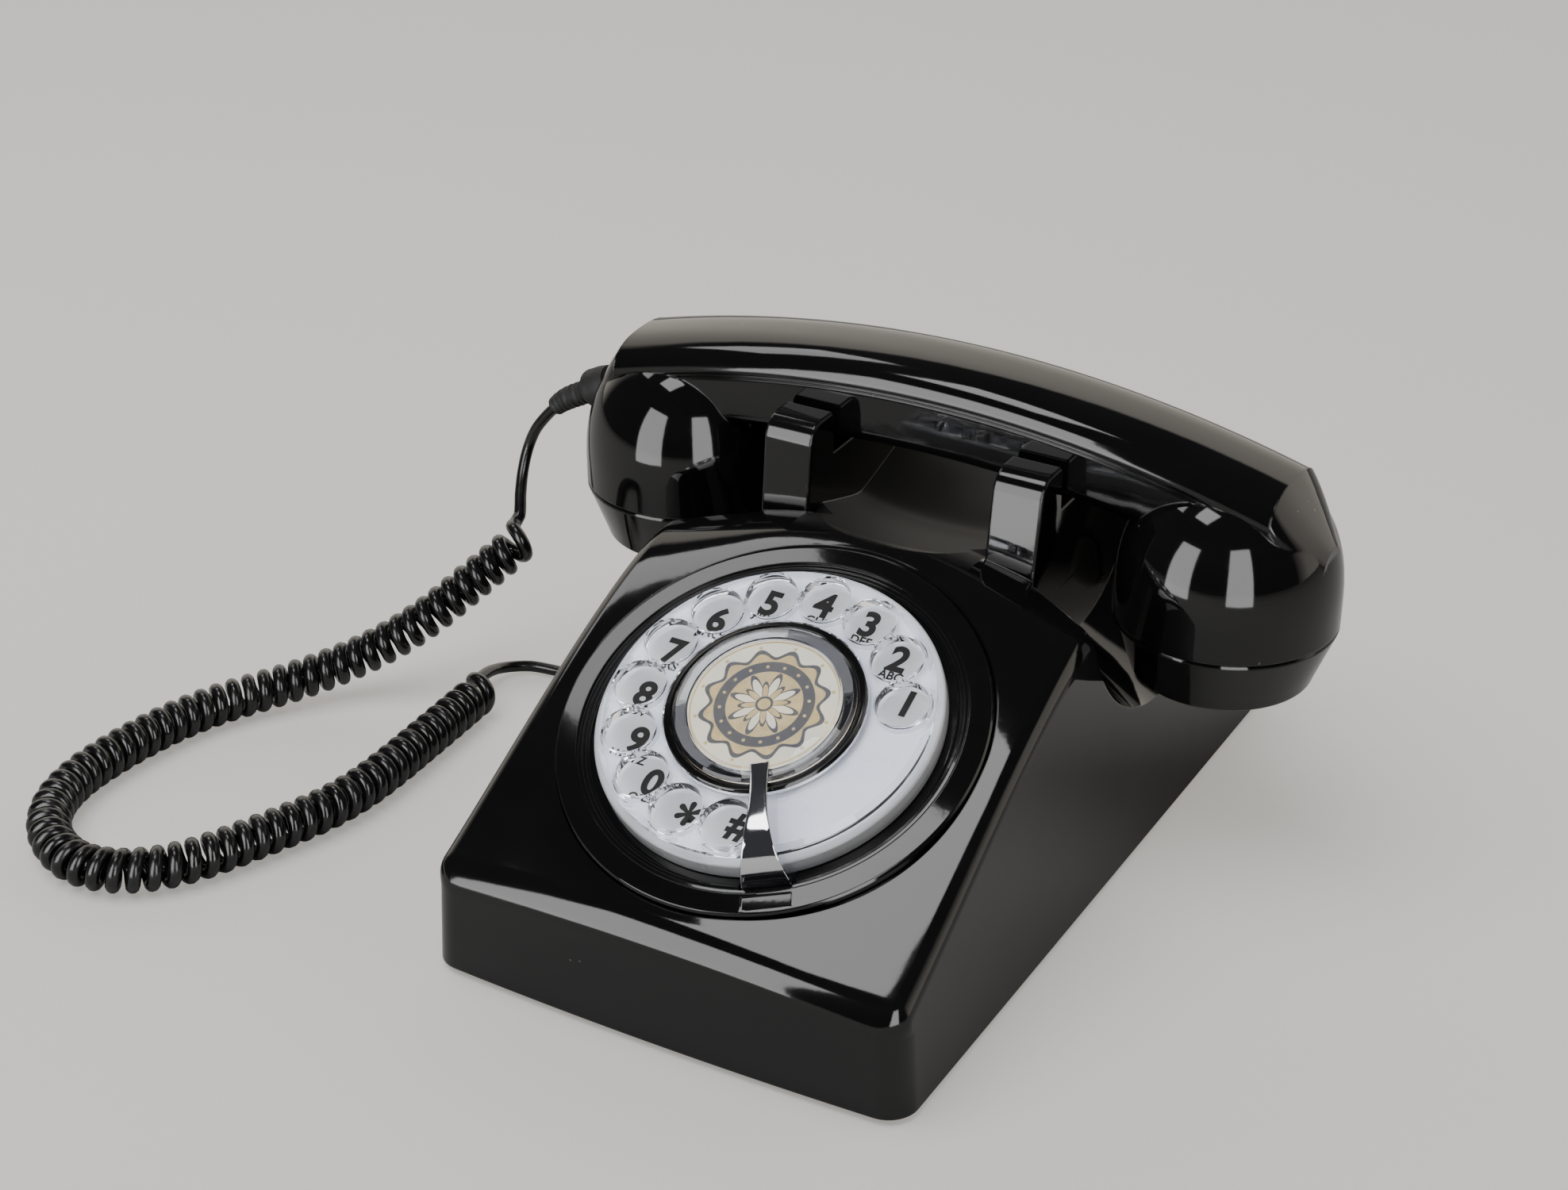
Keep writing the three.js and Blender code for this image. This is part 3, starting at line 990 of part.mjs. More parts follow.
function makeCord() {
  const wire = curledWire();
  console.log(`least gap of the curled wire to itself: ${leastSelfGap(wire).toFixed(2)} mm`);
  add('handset_cord_curl', loft(wireRings(wire)), RUBBER());
  // each lead meets the wire a gap away, square to it
  const beyond = (tip, inner, reach) => {
    const away = tip.clone().sub(inner).setLength(reach);
    return tip.clone().add(away).toArray();
  };
  const [first, second] = wire;
  const [inner, last] = wire.slice(-2);
  const straight = 2 * LEAD_RADIUS;
  const head = [beyond(first, second, straight), beyond(first, second, GAP)];
  const tail = [beyond(last, inner, GAP), beyond(last, inner, straight)];
  add('handset_cord_lead', tube([...HANDSET_LEAD, ...head], LEAD_RADIUS, 8, 13), RUBBER());
  add('base_cord_lead', tube([...tail, ...BASE_LEAD], LEAD_RADIUS, 8, 17), RUBBER());
}

makeCord();

export default phone;
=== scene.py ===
"""Looks of the desk telephone: glossy black housing and handset, clear rotary dial, curly cord.

Shapes are worked out in millimetres in the frame of the solids, and turn into metres when they are
dressed.
"""

import math

import bmesh
import bpy
import numpy as np
from mathutils import Matrix, Vector


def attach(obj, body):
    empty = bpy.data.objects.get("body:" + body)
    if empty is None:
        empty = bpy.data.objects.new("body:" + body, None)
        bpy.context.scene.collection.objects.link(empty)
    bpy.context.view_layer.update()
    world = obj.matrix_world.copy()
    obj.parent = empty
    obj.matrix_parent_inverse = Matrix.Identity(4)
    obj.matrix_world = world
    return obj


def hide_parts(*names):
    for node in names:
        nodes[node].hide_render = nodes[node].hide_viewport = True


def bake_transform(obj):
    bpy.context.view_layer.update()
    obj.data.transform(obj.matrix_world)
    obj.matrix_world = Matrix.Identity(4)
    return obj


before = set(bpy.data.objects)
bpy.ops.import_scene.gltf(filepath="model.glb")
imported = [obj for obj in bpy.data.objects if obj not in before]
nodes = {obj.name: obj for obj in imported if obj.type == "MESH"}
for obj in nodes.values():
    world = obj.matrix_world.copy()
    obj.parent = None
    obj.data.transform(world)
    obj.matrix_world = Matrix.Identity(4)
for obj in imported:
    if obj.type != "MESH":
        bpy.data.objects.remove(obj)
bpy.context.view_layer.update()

# -------- dimensions, in millimetres

WIDTH, DEPTH = 142, 240
WALL = 2.6
FOOT_LIFT = 2
APRON_TOP, APRON_RADIUS, APRON_BOW = 29.4, 10, 2
FACE_CROWN = 4.5
CORNER_RADIUS, EDGE_RADIUS = 8, 4.5
SIDE_DRAFT = 0.053
FACE_TILT = math.radians(25.6)
REAR_WALL_TOP, REAR_SHOULDER = 50, 84
SHOULDER_END, SHOULDER_FALL = 79, 0.019
CRADLE_Y = 41.5
TROUGH_Z, TROUGH_NECK, TROUGH_FLARE = 93, 36, 0.5
SADDLE_IN, SADDLE_OUT, SADDLE_FOOT = 27.5, 42.5, 76
FRONT_HORN_TOP, REAR_HORN_TOP = 114.5, 119.5
HORN_DEPTH, HORN_RADIUS = 14, 6.5
BOWL_RADIUS, BOWL_LIP, BOWL_FALL, BOWL_RISE = 41, 91, 0.325, 0.3
DIAL_Y, DIAL_Z = -58.7, 64.6
RING_RADIUS, WELL_RADIUS = 58.5, 49
PLATE_RADIUS, PLATE_TOP = 46.8, 5
WHEEL_RADIUS, WHEEL_BOTTOM, WHEEL_TOP = 45, 5.8, 9
HOLE_RADIUS, HOLE_CIRCLE = 7, 36.3
HOLE_ANGLES = np.radians(19.4 + 23.8 * np.arange(12))
NUMBER_CIRCLE, NUMBER_TURN, NUMBER_MIDDLE = 35.9, 0.05, (0.6, 0.9)
BORE_RADIUS, HUB_RADIUS, WINDOW_RADIUS, LABEL_RADIUS = 3.3, 27, 24.6, 20.6
STOP_ANGLE = math.radians(-64)
PLUNGER_X = 34
CUP_X, CUP_RADIUS, CUP_SHOULDER, CUP_RISE = 85, 31, 80, 36
GRIP_TOP, GRIP_BOTTOM, GRIP_HALF_WIDTH, GRIP_SAG = 131.6, 106, 16.6, 0.00135
GRIP_BEND, GRIP_CORNER, GRIP_END, GRIP_END_Z = 62, 101, 113.5, 92
SEAM_Z, CAP_BOTTOM, CAP_RADIUS = 74, 56, 25.5
WIRE_RADIUS, LEAD_RADIUS, CURL_RADIUS, CURLS = 2.05, 1.75, 4.4, 72
BLACK_LEVEL = 0.0065

# -------- camera


def set_camera():
    """The camera's place, its direction from an azimuth and an elevation, and its lens."""
    azimuth, elevation = math.radians(29.63), math.radians(28.89)
    camera = bpy.data.objects.new("camera", bpy.data.cameras.new("camera"))
    camera.data.lens = 67.75
    camera.data.sensor_width = 36
    forward = Vector((
        -math.sin(azimuth) * math.cos(elevation),
        math.cos(azimuth) * math.cos(elevation),
        -math.sin(elevation),
    ))
    camera.location = (0.3274, -0.6281, 0.4658)
    camera.rotation_euler = forward.to_track_quat("-Z", "Y").to_euler()
    bpy.context.scene.collection.objects.link(camera)
    bpy.context.scene.camera = camera


set_camera()

# -------- shapes from arrays


def smooth(t):
    """Eases from 0 to 1 with level ends: three t squared less two t cubed."""
    t = np.clip(t, 0, 1)
    return t * t * (3 - 2 * t)


def arc(cx, cy, radius, start, end, steps):
    """Points of a circle about cx, cy from one angle in degrees to another."""
    a = np.radians(np.linspace(start, end, steps + 1))
    return np.stack([cx + radius * np.cos(a), cy + radius * np.sin(a)], -1)


def filleted(corners, steps=5, closed=False):
    """Line through [a, b, radius] corners; each corner becomes the arc that touches both its sides,
    as a rational curve of degree two.
    """
    corners = np.array(corners, float)
    s = np.linspace(0, 1, steps + 1)[:, None]
    pieces = []
    count = len(corners)
    for i, (a, b, radius) in enumerate(corners):
        here = np.array([a, b])
        if radius <= 0 or (not closed and i in (0, count - 1)):
            pieces.append(here[None])
            continue
        before, after = corners[i - 1, :2] - here, corners[(i + 1) % count, :2] - here
        sides = np.hypot(*before), np.hypot(*after)
        u, v = before / sides[0], after / sides[1]
        half = np.arccos(np.clip(u @ v, -1, 1)) / 2
        reach = min(radius / max(np.tan(half), 1e-6), 0.49 * min(sides))
        first, last, weight = here + u * reach, here + v * reach, np.sin(half)
        p, q, r = (1 - s) ** 2, 2 * s * (1 - s) * weight, s**2
        pieces.append((p * first + q * here + r * last) / (p + q + r))
    return np.concatenate(pieces)


def curve_through(points, fine):
    """Smooth line through points: on each span a cubic whose slopes come from the square roots of
    the neighbouring distances.
    """
    p = np.array(points, float)
    p = np.concatenate([[2 * p[0] - p[1]], p, [2 * p[-1] - p[-2]]])
    gap = np.sqrt(np.linalg.norm(np.diff(p, axis=0), axis=1))[:, None]
    p0, p1, p2, p3 = p[:-3], p[1:-2], p[2:-1], p[3:]
    g0, g1, g2 = gap[:-2], gap[1:-1], gap[2:]
    m1 = ((p1 - p0) / g0 - (p2 - p0) / (g0 + g1) + (p2 - p1) / g1) * g1
    m2 = ((p2 - p1) / g1 - (p3 - p1) / (g1 + g2) + (p3 - p2) / g2) * g1
    t = (np.arange(fine) / fine)[None, :, None]
    p1, p2, m1, m2 = (v[:, None] for v in (p1, p2, m1, m2))
    line = p1 * (2 * t**3 - 3 * t**2 + 1) + m1 * (t**3 - 2 * t**2 + t)
    line = line + p2 * (3 * t**2 - 2 * t**3) + m2 * (t**3 - t**2)
    return np.concatenate([line.reshape(-1, p.shape[1]), p[-2:-1]])


def distances(line):
    """How far along the line each of its points lies."""
    return np.concatenate([[0], np.cumsum(np.linalg.norm(np.diff(line, axis=0), axis=1))])


def resampled(at, rows, wanted):
    """Each column of rows, known at the places at, read off at the wanted places."""
    return np.stack([np.interp(wanted, at, column) for column in rows.T], -1)


def evenly(line, count):
    """The same line with its points at equal distances along it."""
    along = distances(line)
    return resampled(along, line, np.linspace(0, along[-1], count))


def unit(v):
    """Each vector divided by its length."""
    return v / np.linalg.norm(v, axis=-1, keepdims=True)


def add_object(name, mesh):
    """An object of that mesh, at the origin."""
    obj = bpy.data.objects.new(name, mesh)
    bpy.context.scene.collection.objects.link(obj)
    return obj


def tidy_mesh(obj, nearness=1e-3):
    """Merges points that lie together and turns all faces outwards."""
    work = bmesh.new()
    work.from_mesh(obj.data)
    bmesh.ops.remove_doubles(work, verts=work.verts, dist=nearness)
    bmesh.ops.recalc_face_normals(work, faces=work.faces)
    work.to_mesh(obj.data)
    work.free()
    return obj


def surface(name, points, wrap=False, caps=True):
    """Closed skin over a grid of points whose rows are rings; wrap joins the last row to the first,
    and otherwise each end is closed flat.
    """
    rows, columns = points.shape[:2]
    i = np.arange(rows if wrap else rows - 1)[:, None] * columns
    j = np.arange(columns)[None]
    after = (i + columns) % (rows * columns)
    beside = (j + 1) % columns
    corners = np.broadcast_arrays(i + j, i + beside, after + beside, after + j)
    faces = np.stack(corners, -1).reshape(-1, 4).tolist()
    if caps and not wrap:
        faces += [list(range(columns)), list(range((rows - 1) * columns, rows * columns))]
    mesh = bpy.data.meshes.new(name)
    mesh.from_pydata(points.reshape(-1, 3).tolist(), [], faces)
    return tidy_mesh(add_object(name, mesh))


def turned(name, profile, sides=96, x=0, y=0, wrap=False):
    """Body of revolution: each radius and height of the profile carried round an upright axis
    through x, y.
    """
    r, z = np.array(profile, float)[:, :2].T[..., None]
    a = np.linspace(0, 2 * np.pi, sides, endpoint=False)
    points = np.stack([x + r * np.cos(a), y + r * np.sin(a), z + 0 * a], -1)
    return surface(name, points, wrap, caps=False)


def settled(obj):
    """The object with its modifiers worked into its mesh."""
    bpy.context.view_layer.update()
    mesh = bpy.data.meshes.new_from_object(obj.evaluated_get(bpy.context.evaluated_depsgraph_get()))
    if obj.type != "MESH":
        name = obj.name
        bpy.data.objects.remove(obj)
        return add_object(name, mesh)
    obj.modifiers.clear()
    old, obj.data = obj.data, mesh
    bpy.data.meshes.remove(old)
    return obj


def joined(body, *tools, how="DIFFERENCE"):
    """The body with each tool cut out of it, or added to it, or kept in common with it."""
    for tool in tools:
        step = body.modifiers.new("step", "BOOLEAN")
        step.object = tool
        step.operation = how
        step.solver = "MANIFOLD"
        settled(body)
        bpy.data.objects.remove(tool)
    return body


def plate(name, outline, thickness, rim):
    """Flat closed outline thickened evenly about z = 0, its rims rounded by a quarter circle."""
    curve = bpy.data.curves.new(name, "CURVE")
    curve.dimensions = "2D"
    curve.fill_mode = "BOTH"
    spline = curve.splines.new("POLY")
    spline.points.add(len(outline) - 1)
    ones = np.ones(len(outline))
    spline.points.foreach_set("co", np.c_[outline, 0 * ones, ones].ravel())
    spline.use_cyclic_u = True
    curve.extrude = thickness / 2 - rim
    curve.bevel_depth = rim
    curve.bevel_resolution = 3
    curve.offset = -rim
    return tidy_mesh(settled(add_object(name, curve)))


def moved(obj, matrix):
    """The object with its mesh carried by a matrix."""
    obj.data.transform(matrix)
    return obj


def box(name, low, high, rim=0.0):
    """Block between two corners; its edges may be rounded."""
    points = [
        [(low, high)[i][0], (low, high)[j][1], (low, high)[k][2]]
        for k in (0, 1)
        for i, j in ((0, 0), (1, 0), (1, 1), (0, 1))
    ]
    faces = [(0, 1, 2, 3), (4, 5, 6, 7), (0, 1, 5, 4), (1, 2, 6, 5), (2, 3, 7, 6), (3, 0, 4, 7)]
    mesh = bpy.data.meshes.new(name)
    mesh.from_pydata(points, [], faces)
    obj = tidy_mesh(add_object(name, mesh))
    if rim:
        edge = obj.modifiers.new("edge", "BEVEL")
        edge.width = rim
        edge.segments = 3
        settled(obj)
    return obj


on_face = Matrix.Translation((0, DIAL_Y, DIAL_Z)) @ Matrix.Rotation(FACE_TILT, 4, "X")
at_cord_entry = Matrix.Translation((-WIDTH / 2, 35, 12)) @ Matrix.Rotation(math.pi / 2, 4, "Y")

# -------- finishes


class Value:
    """A socket of a node tree that can be added, multiplied and compared like a number."""

    def __init__(self, finish, socket):
        self.finish, self.socket = finish, socket

    def __add__(self, other):
        return self.finish.maths("ADD", self, other)

    def __radd__(self, other):
        return self.finish.maths("ADD", other, self)

    def __sub__(self, other):
        return self.finish.maths("SUBTRACT", self, other)

    def __rsub__(self, other):
        return self.finish.maths("SUBTRACT", other, self)

    def __mul__(self, other):
        return self.finish.maths("MULTIPLY", self, other)

    def __rmul__(self, other):
        return self.finish.maths("MULTIPLY", other, self)

    def __gt__(self, other):
        return self.finish.maths("GREATER_THAN", self, other)

    def __lt__(self, other):
        return self.finish.maths("LESS_THAN", self, other)


class Surround:
    """A node tree and the coordinates its textures lie on: by default the directions of a world."""

    def __init__(self, owner, place="Generated"):
        self.tree = owner.node_tree
        self.place = self.node("ShaderNodeTexCoord", {}, out=place)

    def node(self, kind, settings, out=0, **inputs):
        """A node of one kind with its settings, then the values or links of its sockets; gives back
        one output.
        """
        made = self.tree.nodes.new(kind)
        for name, value in settings.items():
            setattr(made, name, value)
        for name, value in inputs.items():
            key = int(name[1:]) if name[0] == "i" and name[1:].isdigit() else name.replace("_", " ")
            self.feed(made.inputs[key], value)
        return Value(self, made.outputs[out])

    def feed(self, socket, value):
        """Links a socket to a value, or writes a plain number or colour on it."""
        if isinstance(value, Value):
            self.tree.links.new(value.socket, socket)
        else:
            socket.default_value = value

    def maths(self, operation, *values):
        """One operation on values or plain numbers."""
        return self.node(
            "ShaderNodeMath", {"operation": operation}, **{f"i{n}": v for n, v in enumerate(values)}
        )

    def mix(self, share, first, second):
        """First colour where share is 0, second where it is 1."""
        return self.node("ShaderNodeMix", {"data_type": "RGBA"}, 2, i0=share, i6=first, i7=second)

    def steps(self, value, low, high, to_low=0.0, to_high=1.0):
        """Value carried from one span to another and held at its ends."""
        return self.node(
            "ShaderNodeMapRange", {"clamp": True}, i0=value, i1=low, i2=high, i3=to_low, i4=to_high
        )

    def noise(self, scale, detail=2.0, place=None, rough=0.5):
        """Clouds from 0 to 1."""
        where = {"Vector": place or self.place, "Scale": scale}
        return self.node("ShaderNodeTexNoise", {}, 0, Detail=detail, Roughness=rough, **where)

    def cells(self, scale):
        """Distance from the nearest of many scattered points."""
        return self.node("ShaderNodeTexVoronoi", {}, "Distance", Vector=self.place, Scale=scale)

    def stretched(self, scale, location=(0, 0, 0), rotation=(0, 0, 0), kind="POINT"):
        """The coordinates moved, turned and scaled."""
        return self.node(
            "ShaderNodeMapping",
            {"vector_type": kind},
            Vector=self.place,
            Location=location,
            Rotation=rotation,
            Scale=scale,
        )

    def parts(self, vector):
        """The three numbers of a vector."""
        split = self.node("ShaderNodeSeparateXYZ", {}, i0=vector).socket.node
        return [Value(self, output) for output in split.outputs]


class Finish(Surround):
    """A material made of nodes on object coordinates."""

    def __init__(self, name, **constants):
        self.material = bpy.data.materials.new(name)
        self.material.use_nodes = True
        super().__init__(self.material, "Object")
        self.shader = self.tree.nodes["Principled BSDF"]
        self.output = self.tree.nodes["Material Output"]
        for socket, value in constants.items():
            self.shader.inputs[socket.replace("_", " ")].default_value = value

    def set(self, **sockets):
        """Feeds sockets of the shader by name."""
        for name, value in sockets.items():
            self.feed(self.shader.inputs[name.replace("_", " ")], value)
        return self

    def relief(self, height, depth, rounding=0.0):
        """Bump of a depth in metres over the surface, whose sharp edges may be rounded."""
        inputs = {"Height": height, "Strength": 1.0, "Distance": depth}
        if rounding:
            inputs["Normal"] = self.node("ShaderNodeBevel", {"samples": 4}, Radius=rounding)
        return self.set(Normal=self.node("ShaderNodeBump", {}, **inputs))


def grey(level, blue=0.0):
    """Grey, perhaps a little bluer, as a colour with full cover."""
    return (level, level, level * (1 + blue), 1)


def gloss_black(name, rounding=0.0006, satin_hollow=False):
    """Polished black moulding: faint waves, fine rubs in the gloss and sparse pale dust; the finger
    hollow between the saddles may be satin.
    """
    f = Finish(name, Specular_IOR_Level=0.55)
    waves = f.noise(26, 2)
    rubs = f.noise(9, 6, f.stretched((1, 1, 7)), 0.62)
    speck = f.steps(f.cells(210), 0.055, 0.10, 1, 0)
    rare = f.noise(34, 3) > 0.655
    dust = speck * rare
    rough = f.steps(rubs, 0.45, 0.75, 0.045, 0.10) + dust * 0.3
    if satin_hollow:
        x, y, z = f.parts(f.place)
        within = f.steps(f.maths("ABSOLUTE", x), 0.0270, 0.0274, 1, 0)
        within = within * f.steps(y, -0.002, 0.004) * f.steps(y, 0.080, 0.086, 1, 0)
        rough = rough + within * (z > 0.070) * 0.5
    f.set(
        Base_Color=f.mix(
            dust * 0.5,
            f.mix(
                f.steps(rubs, 0.4, 0.7), grey(BLACK_LEVEL, 0.08), grey(BLACK_LEVEL * 1.5, 0.05)
            ),
            grey(0.42),
        ),
        Roughness=rough,
    )
    return f.relief(waves + f.noise(420, 1) * 0.02, 0.00022, rounding)


def white_enamel(name):
    """Pale blue-white plate with faint clouding."""
    f = Finish(name, Specular_IOR_Level=0.5)
    cloud = f.noise(60, 4)
    f.set(
        Base_Color=f.mix(f.steps(cloud, 0.3, 0.7), (0.78, 0.81, 0.87, 1), (0.86, 0.88, 0.92, 1)),
        Roughness=f.steps(cloud, 0.3, 0.7, 0.22, 0.34),
    )
    return f.relief(f.noise(900, 2), 0.00002)


def clear_moulding(name, tint):
    """Clear plastic that bends light; its shadow is left as light as it is."""
    f = Finish(name, Transmission_Weight=1.0, IOR=1.47)
    film = f.noise(30, 4, f.stretched((1, 5, 1)))
    f.set(
        Base_Color=f.mix(f.steps(film, 0.3, 0.8), tint, (1, 1, 1, 1)),
        Roughness=f.steps(film, 0.4, 0.8, 0.0, 0.035),
    )
    f.relief(f.noise(70, 2), 0.00006)
    light = f.node("ShaderNodeLightPath", {}, "Is Shadow Ray")
    bare = f.node("ShaderNodeBsdfTransparent", {}, Color=(0.97, 0.98, 1, 1))
    mixed = f.node("ShaderNodeMixShader", {}, i0=light, i1=Value(f, f.shader.outputs[0]), i2=bare)
    f.tree.links.new(mixed.socket, f.output.inputs["Surface"])
    return f


def printed_black(name):
    """Black ink, a little uneven."""
    f = Finish(name, Specular_IOR_Level=0.3)
    ink = f.noise(400, 3)
    return f.set(
        Base_Color=f.mix(ink, grey(0.006), grey(0.016)),
        Roughness=f.steps(ink, 0.3, 0.7, 0.4, 0.6),
    )


def hub_ornament(name):
    """Generic rosette in cream, gold and black, in rings about the dial's axis."""
    f = Finish(name, Specular_IOR_Level=0.4)
    middle = (0, DIAL_Y / 1000, DIAL_Z / 1000)
    spot = f.stretched((1, 1, 1), middle, (FACE_TILT, 0, 0), "TEXTURE")
    x, y, _ = f.parts(spot)
    radius = f.maths("SQRT", x * x + y * y) * 1000
    angle = f.maths("ARCTAN2", y, x)

    def band(low, high):
        """Ring between two radii, with edges 0.16 mm soft."""
        outside = f.steps(radius, low - 0.08, low + 0.08)
        return outside * f.steps(radius, high - 0.08, high + 0.08, 1, 0)

    def petals(count, inner, outer, turn=0.0):
        """Closed where the radius stays under a rim that swings between inner and outer count times
        round.
        """
        wave = f.maths("COSINE", (angle + turn) * count)
        swing = wave * ((outer - inner) / 2) + (outer + inner) / 2
        return f.steps(radius - swing, -0.1, 0.1, 1, 0)

    def beads(count, circle, size):
        """Round spots spread evenly on a circle."""
        share = f.maths("FRACT", angle * (count / (2 * math.pi)) + 0.5) - 0.5
        off = share * (2 * math.pi * circle / count)
        far = f.maths("SQRT", off * off + (radius - circle) * (radius - circle))
        return f.steps(far, size - 0.08, size + 0.08, 1, 0)

    cream, gold, black = (0.80, 0.74, 0.55, 1), (0.47, 0.33, 0.10, 1), (0.012, 0.011, 0.010, 1)
    worn = f.noise(500, 3)
    golden = f.mix(f.steps(worn, 0.3, 0.7), gold, (0.62, 0.47, 0.19, 1))
    colour = f.mix(band(19.6, 20.1), f.mix(worn * 0.15, cream, (0.66, 0.56, 0.36, 1)), golden)
    for share, paint in (
        (beads(12, 18.3, 0.55), golden),
        (petals(12, 15.0, 17.6), black),
        (petals(12, 14.0, 16.2), golden),
        (band(0, 13.5), black),
        (beads(16, 11.9, 0.45), golden),
        (band(0, 10.3), golden),
        (petals(8, 3.4, 10.1), black),
        (petals(8, 2.4, 8.6), cream),
        (petals(8, 2.2, 7.2, math.pi / 8), black),
        (petals(8, 1.4, 6.2, math.pi / 8), golden),
        (band(0, 2.4), black),
        (band(0, 1.7), golden),
    ):
        colour = f.mix(share, colour, paint)
    return f.set(Base_Color=colour, Roughness=f.steps(worn, 0.3, 0.7, 0.3, 0.45))


def plated(name, colour, rough=(0.04, 0.11)):
    """Bright metal with wiped smears."""
    f = Finish(name, Metallic=1.0)
    smear = f.noise(40, 5, f.stretched((1, 1, 4)))
    f.set(
        Base_Color=f.mix(smear, colour, tuple(v * 0.86 for v in colour[:3]) + (1,)),
        Roughness=f.steps(smear, 0.4, 0.75, *rough),
    )
    return f.relief(f.noise(120, 2), 0.00004, 0.0003)


def satin(name, low, high, rough=(0.4, 0.6), grain=700, depth=0.00004, metal=0.0):
    """Plain worked surface: two near shades in clouds and a fine grain."""
    f = Finish(name, Metallic=metal)
    cloud = f.noise(grain / 8, 4)
    f.set(
        Base_Color=f.mix(f.steps(cloud, 0.3, 0.7), low, high),
        Roughness=f.steps(cloud, 0.3, 0.7, *rough),
    )
    return f.relief(f.noise(grain, 3), depth)


def cord_jacket(name):
    """Near-black glossy flexible jacket with fine pores."""
    f = Finish(name, Specular_IOR_Level=0.6)
    cloud = f.noise(160, 4)
    f.set(
        Base_Color=f.mix(cloud, grey(0.007), grey(0.017)),
        Roughness=f.steps(cloud, 0.35, 0.7, 0.16, 0.28),
    )
    return f.relief(f.noise(1400, 2), 0.00002)


def moulded_base(name):
    """Matt black moulding with a sparked grain."""
    f = Finish(name)
    grain = f.cells(1500)
    f.set(
        Base_Color=f.mix(f.noise(60, 3), grey(0.014), grey(0.026)),
        Roughness=f.steps(grain, 0.1, 0.6, 0.62, 0.45),
    )
    return f.relief(grain, 0.00006)


def lacquered_board(name):
    """Green circuit board with copper tracks in straight runs."""
    f = Finish(name, Specular_IOR_Level=0.5)
    bricks = {"Scale": 110.0, "Mortar_Size": 0.035, "Brick_Width": 0.9, "Row_Height": 0.4}
    tracks = f.node("ShaderNodeTexBrick", {}, "Fac", Vector=f.place, **bricks)
    f.set(
        Base_Color=f.mix(
            tracks,
            f.mix(f.noise(90, 2), (0.02, 0.11, 0.045, 1), (0.03, 0.15, 0.06, 1)),
            (0.10, 0.26, 0.10, 1),
        ),
        Roughness=f.steps(f.noise(200, 2), 0.3, 0.7, 0.25, 0.4),
    )
    return f.relief(tracks, 0.00003)


BLACK = gloss_black("polished_black")
HOUSING_BLACK = gloss_black("polished_black_housing", satin_hollow=True)
RING_BLACK = gloss_black("polished_black_ring", rounding=0.0002)
ENAMEL = white_enamel("blue_white_plate")
CLEAR = clear_moulding("clear_moulding", (0.90, 0.92, 1.0, 1))
INK = printed_black("black_print")
ORNAMENT = hub_ornament("hub_rosette")
CHROME = plated("bright_chrome", (0.82, 0.83, 0.86, 1))
STEEL = plated("zinc_plate", (0.55, 0.56, 0.58, 1), (0.22, 0.4))
BRASS = plated("turned_brass", (0.68, 0.47, 0.2, 1), (0.18, 0.34))
DARK = satin("dark_moulding", grey(0.03), grey(0.05))
CAN = satin("drawn_can", grey(0.42), grey(0.52), (0.3, 0.45), 500, 0.00002, 1.0)
RUBBER = satin("black_rubber", grey(0.012), grey(0.022), (0.5, 0.7), 900, 0.00005)
JACKET = cord_jacket("cord_jacket")
BASE = moulded_base("sparked_moulding")
BOARD = lacquered_board("lacquered_board")

# -------- dressing


def dressed(obj, finish, body, stands_for=(), sharp=40):
    """Turns a piece into metres, smooths it between its sharp edges, gives it its finish and body,
    and hides the solids it stands for.
    """
    obj.data.transform(Matrix.Scale(0.001, 4))
    obj.data.materials.clear()
    obj.data.materials.append(finish.material)
    obj.data.shade_smooth()
    if sharp:
        obj.data.set_sharp_from_angle(angle=math.radians(sharp))
        weigh = obj.modifiers.new("weigh", "WEIGHTED_NORMAL")
        weigh.keep_sharp = True
        settled(obj)
    if body:
        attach(obj, body)
    if stands_for:
        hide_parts(*stands_for)
    return obj


# -------- handset cord

HANDSET_LEAD = [
    (-132.8, 41.5, 84.2), (-136, 41.4, 80.8), (-140.2, 40.8, 75), (-142.6, 39.6, 68.4),
    (-142.9, 37, 62.2), (-141.4, 33, 56.6),
]
CURL_LINE = [
    (-134.6, 28.4, 51.4), (-134.6, 24.2, 48), (-136.4, 19.5, 44.6), (-139.8, 15.3, 40.8),
    (-144.6, 10, 35.8), (-149.6, 4, 30.4), (-155.2, -1.6, 25), (-161.8, -7, 19.8),
    (-169.4, -13.4, 15), (-178, -21.4, 11), (-186, -30, 8.4), (-192.6, -38.6, 7.2),
    (-198.2, -48.6, 6.9), (-202.6, -60.4, 6.8), (-205.6, -74, 6.8), (-207.2, -88, 6.8),
    (-207.2, -101, 6.8), (-204.4, -113.4, 6.8), (-197.8, -124.2, 6.8), (-188.2, -131.6, 6.8),
    (-177.6, -134.8, 6.8), (-167.2, -133, 6.8), (-158.6, -127.4, 6.8), (-152.2, -119.8, 6.8),
    (-147.6, -111.4, 6.8), (-143.6, -102, 6.8), (-138.8, -90.2, 6.8), (-134.8, -78.2, 6.8),
    (-132.6, -65.2, 6.8), (-132.2, -50.5, 6.8), (-132.6, -36, 6.8), (-133.2, -19, 6.8),
    (-133.8, -5.4, 6.8), (-134.4, 3, 6.8),
]
BASE_LEAD = [
    (-139.6, 9, 5.8), (-139.6, 14.5, 4.2), (-137.6, 19.4, 3), (-133.4, 22.8, 2.6),
    (-127, 24.4, 2.4), (-114, 25.4, 2.4), (-98, 27.5, 3.2), (-87, 31, 6.5), (-80, 34, 10.4),
    (-75.6, 35, 12),
]


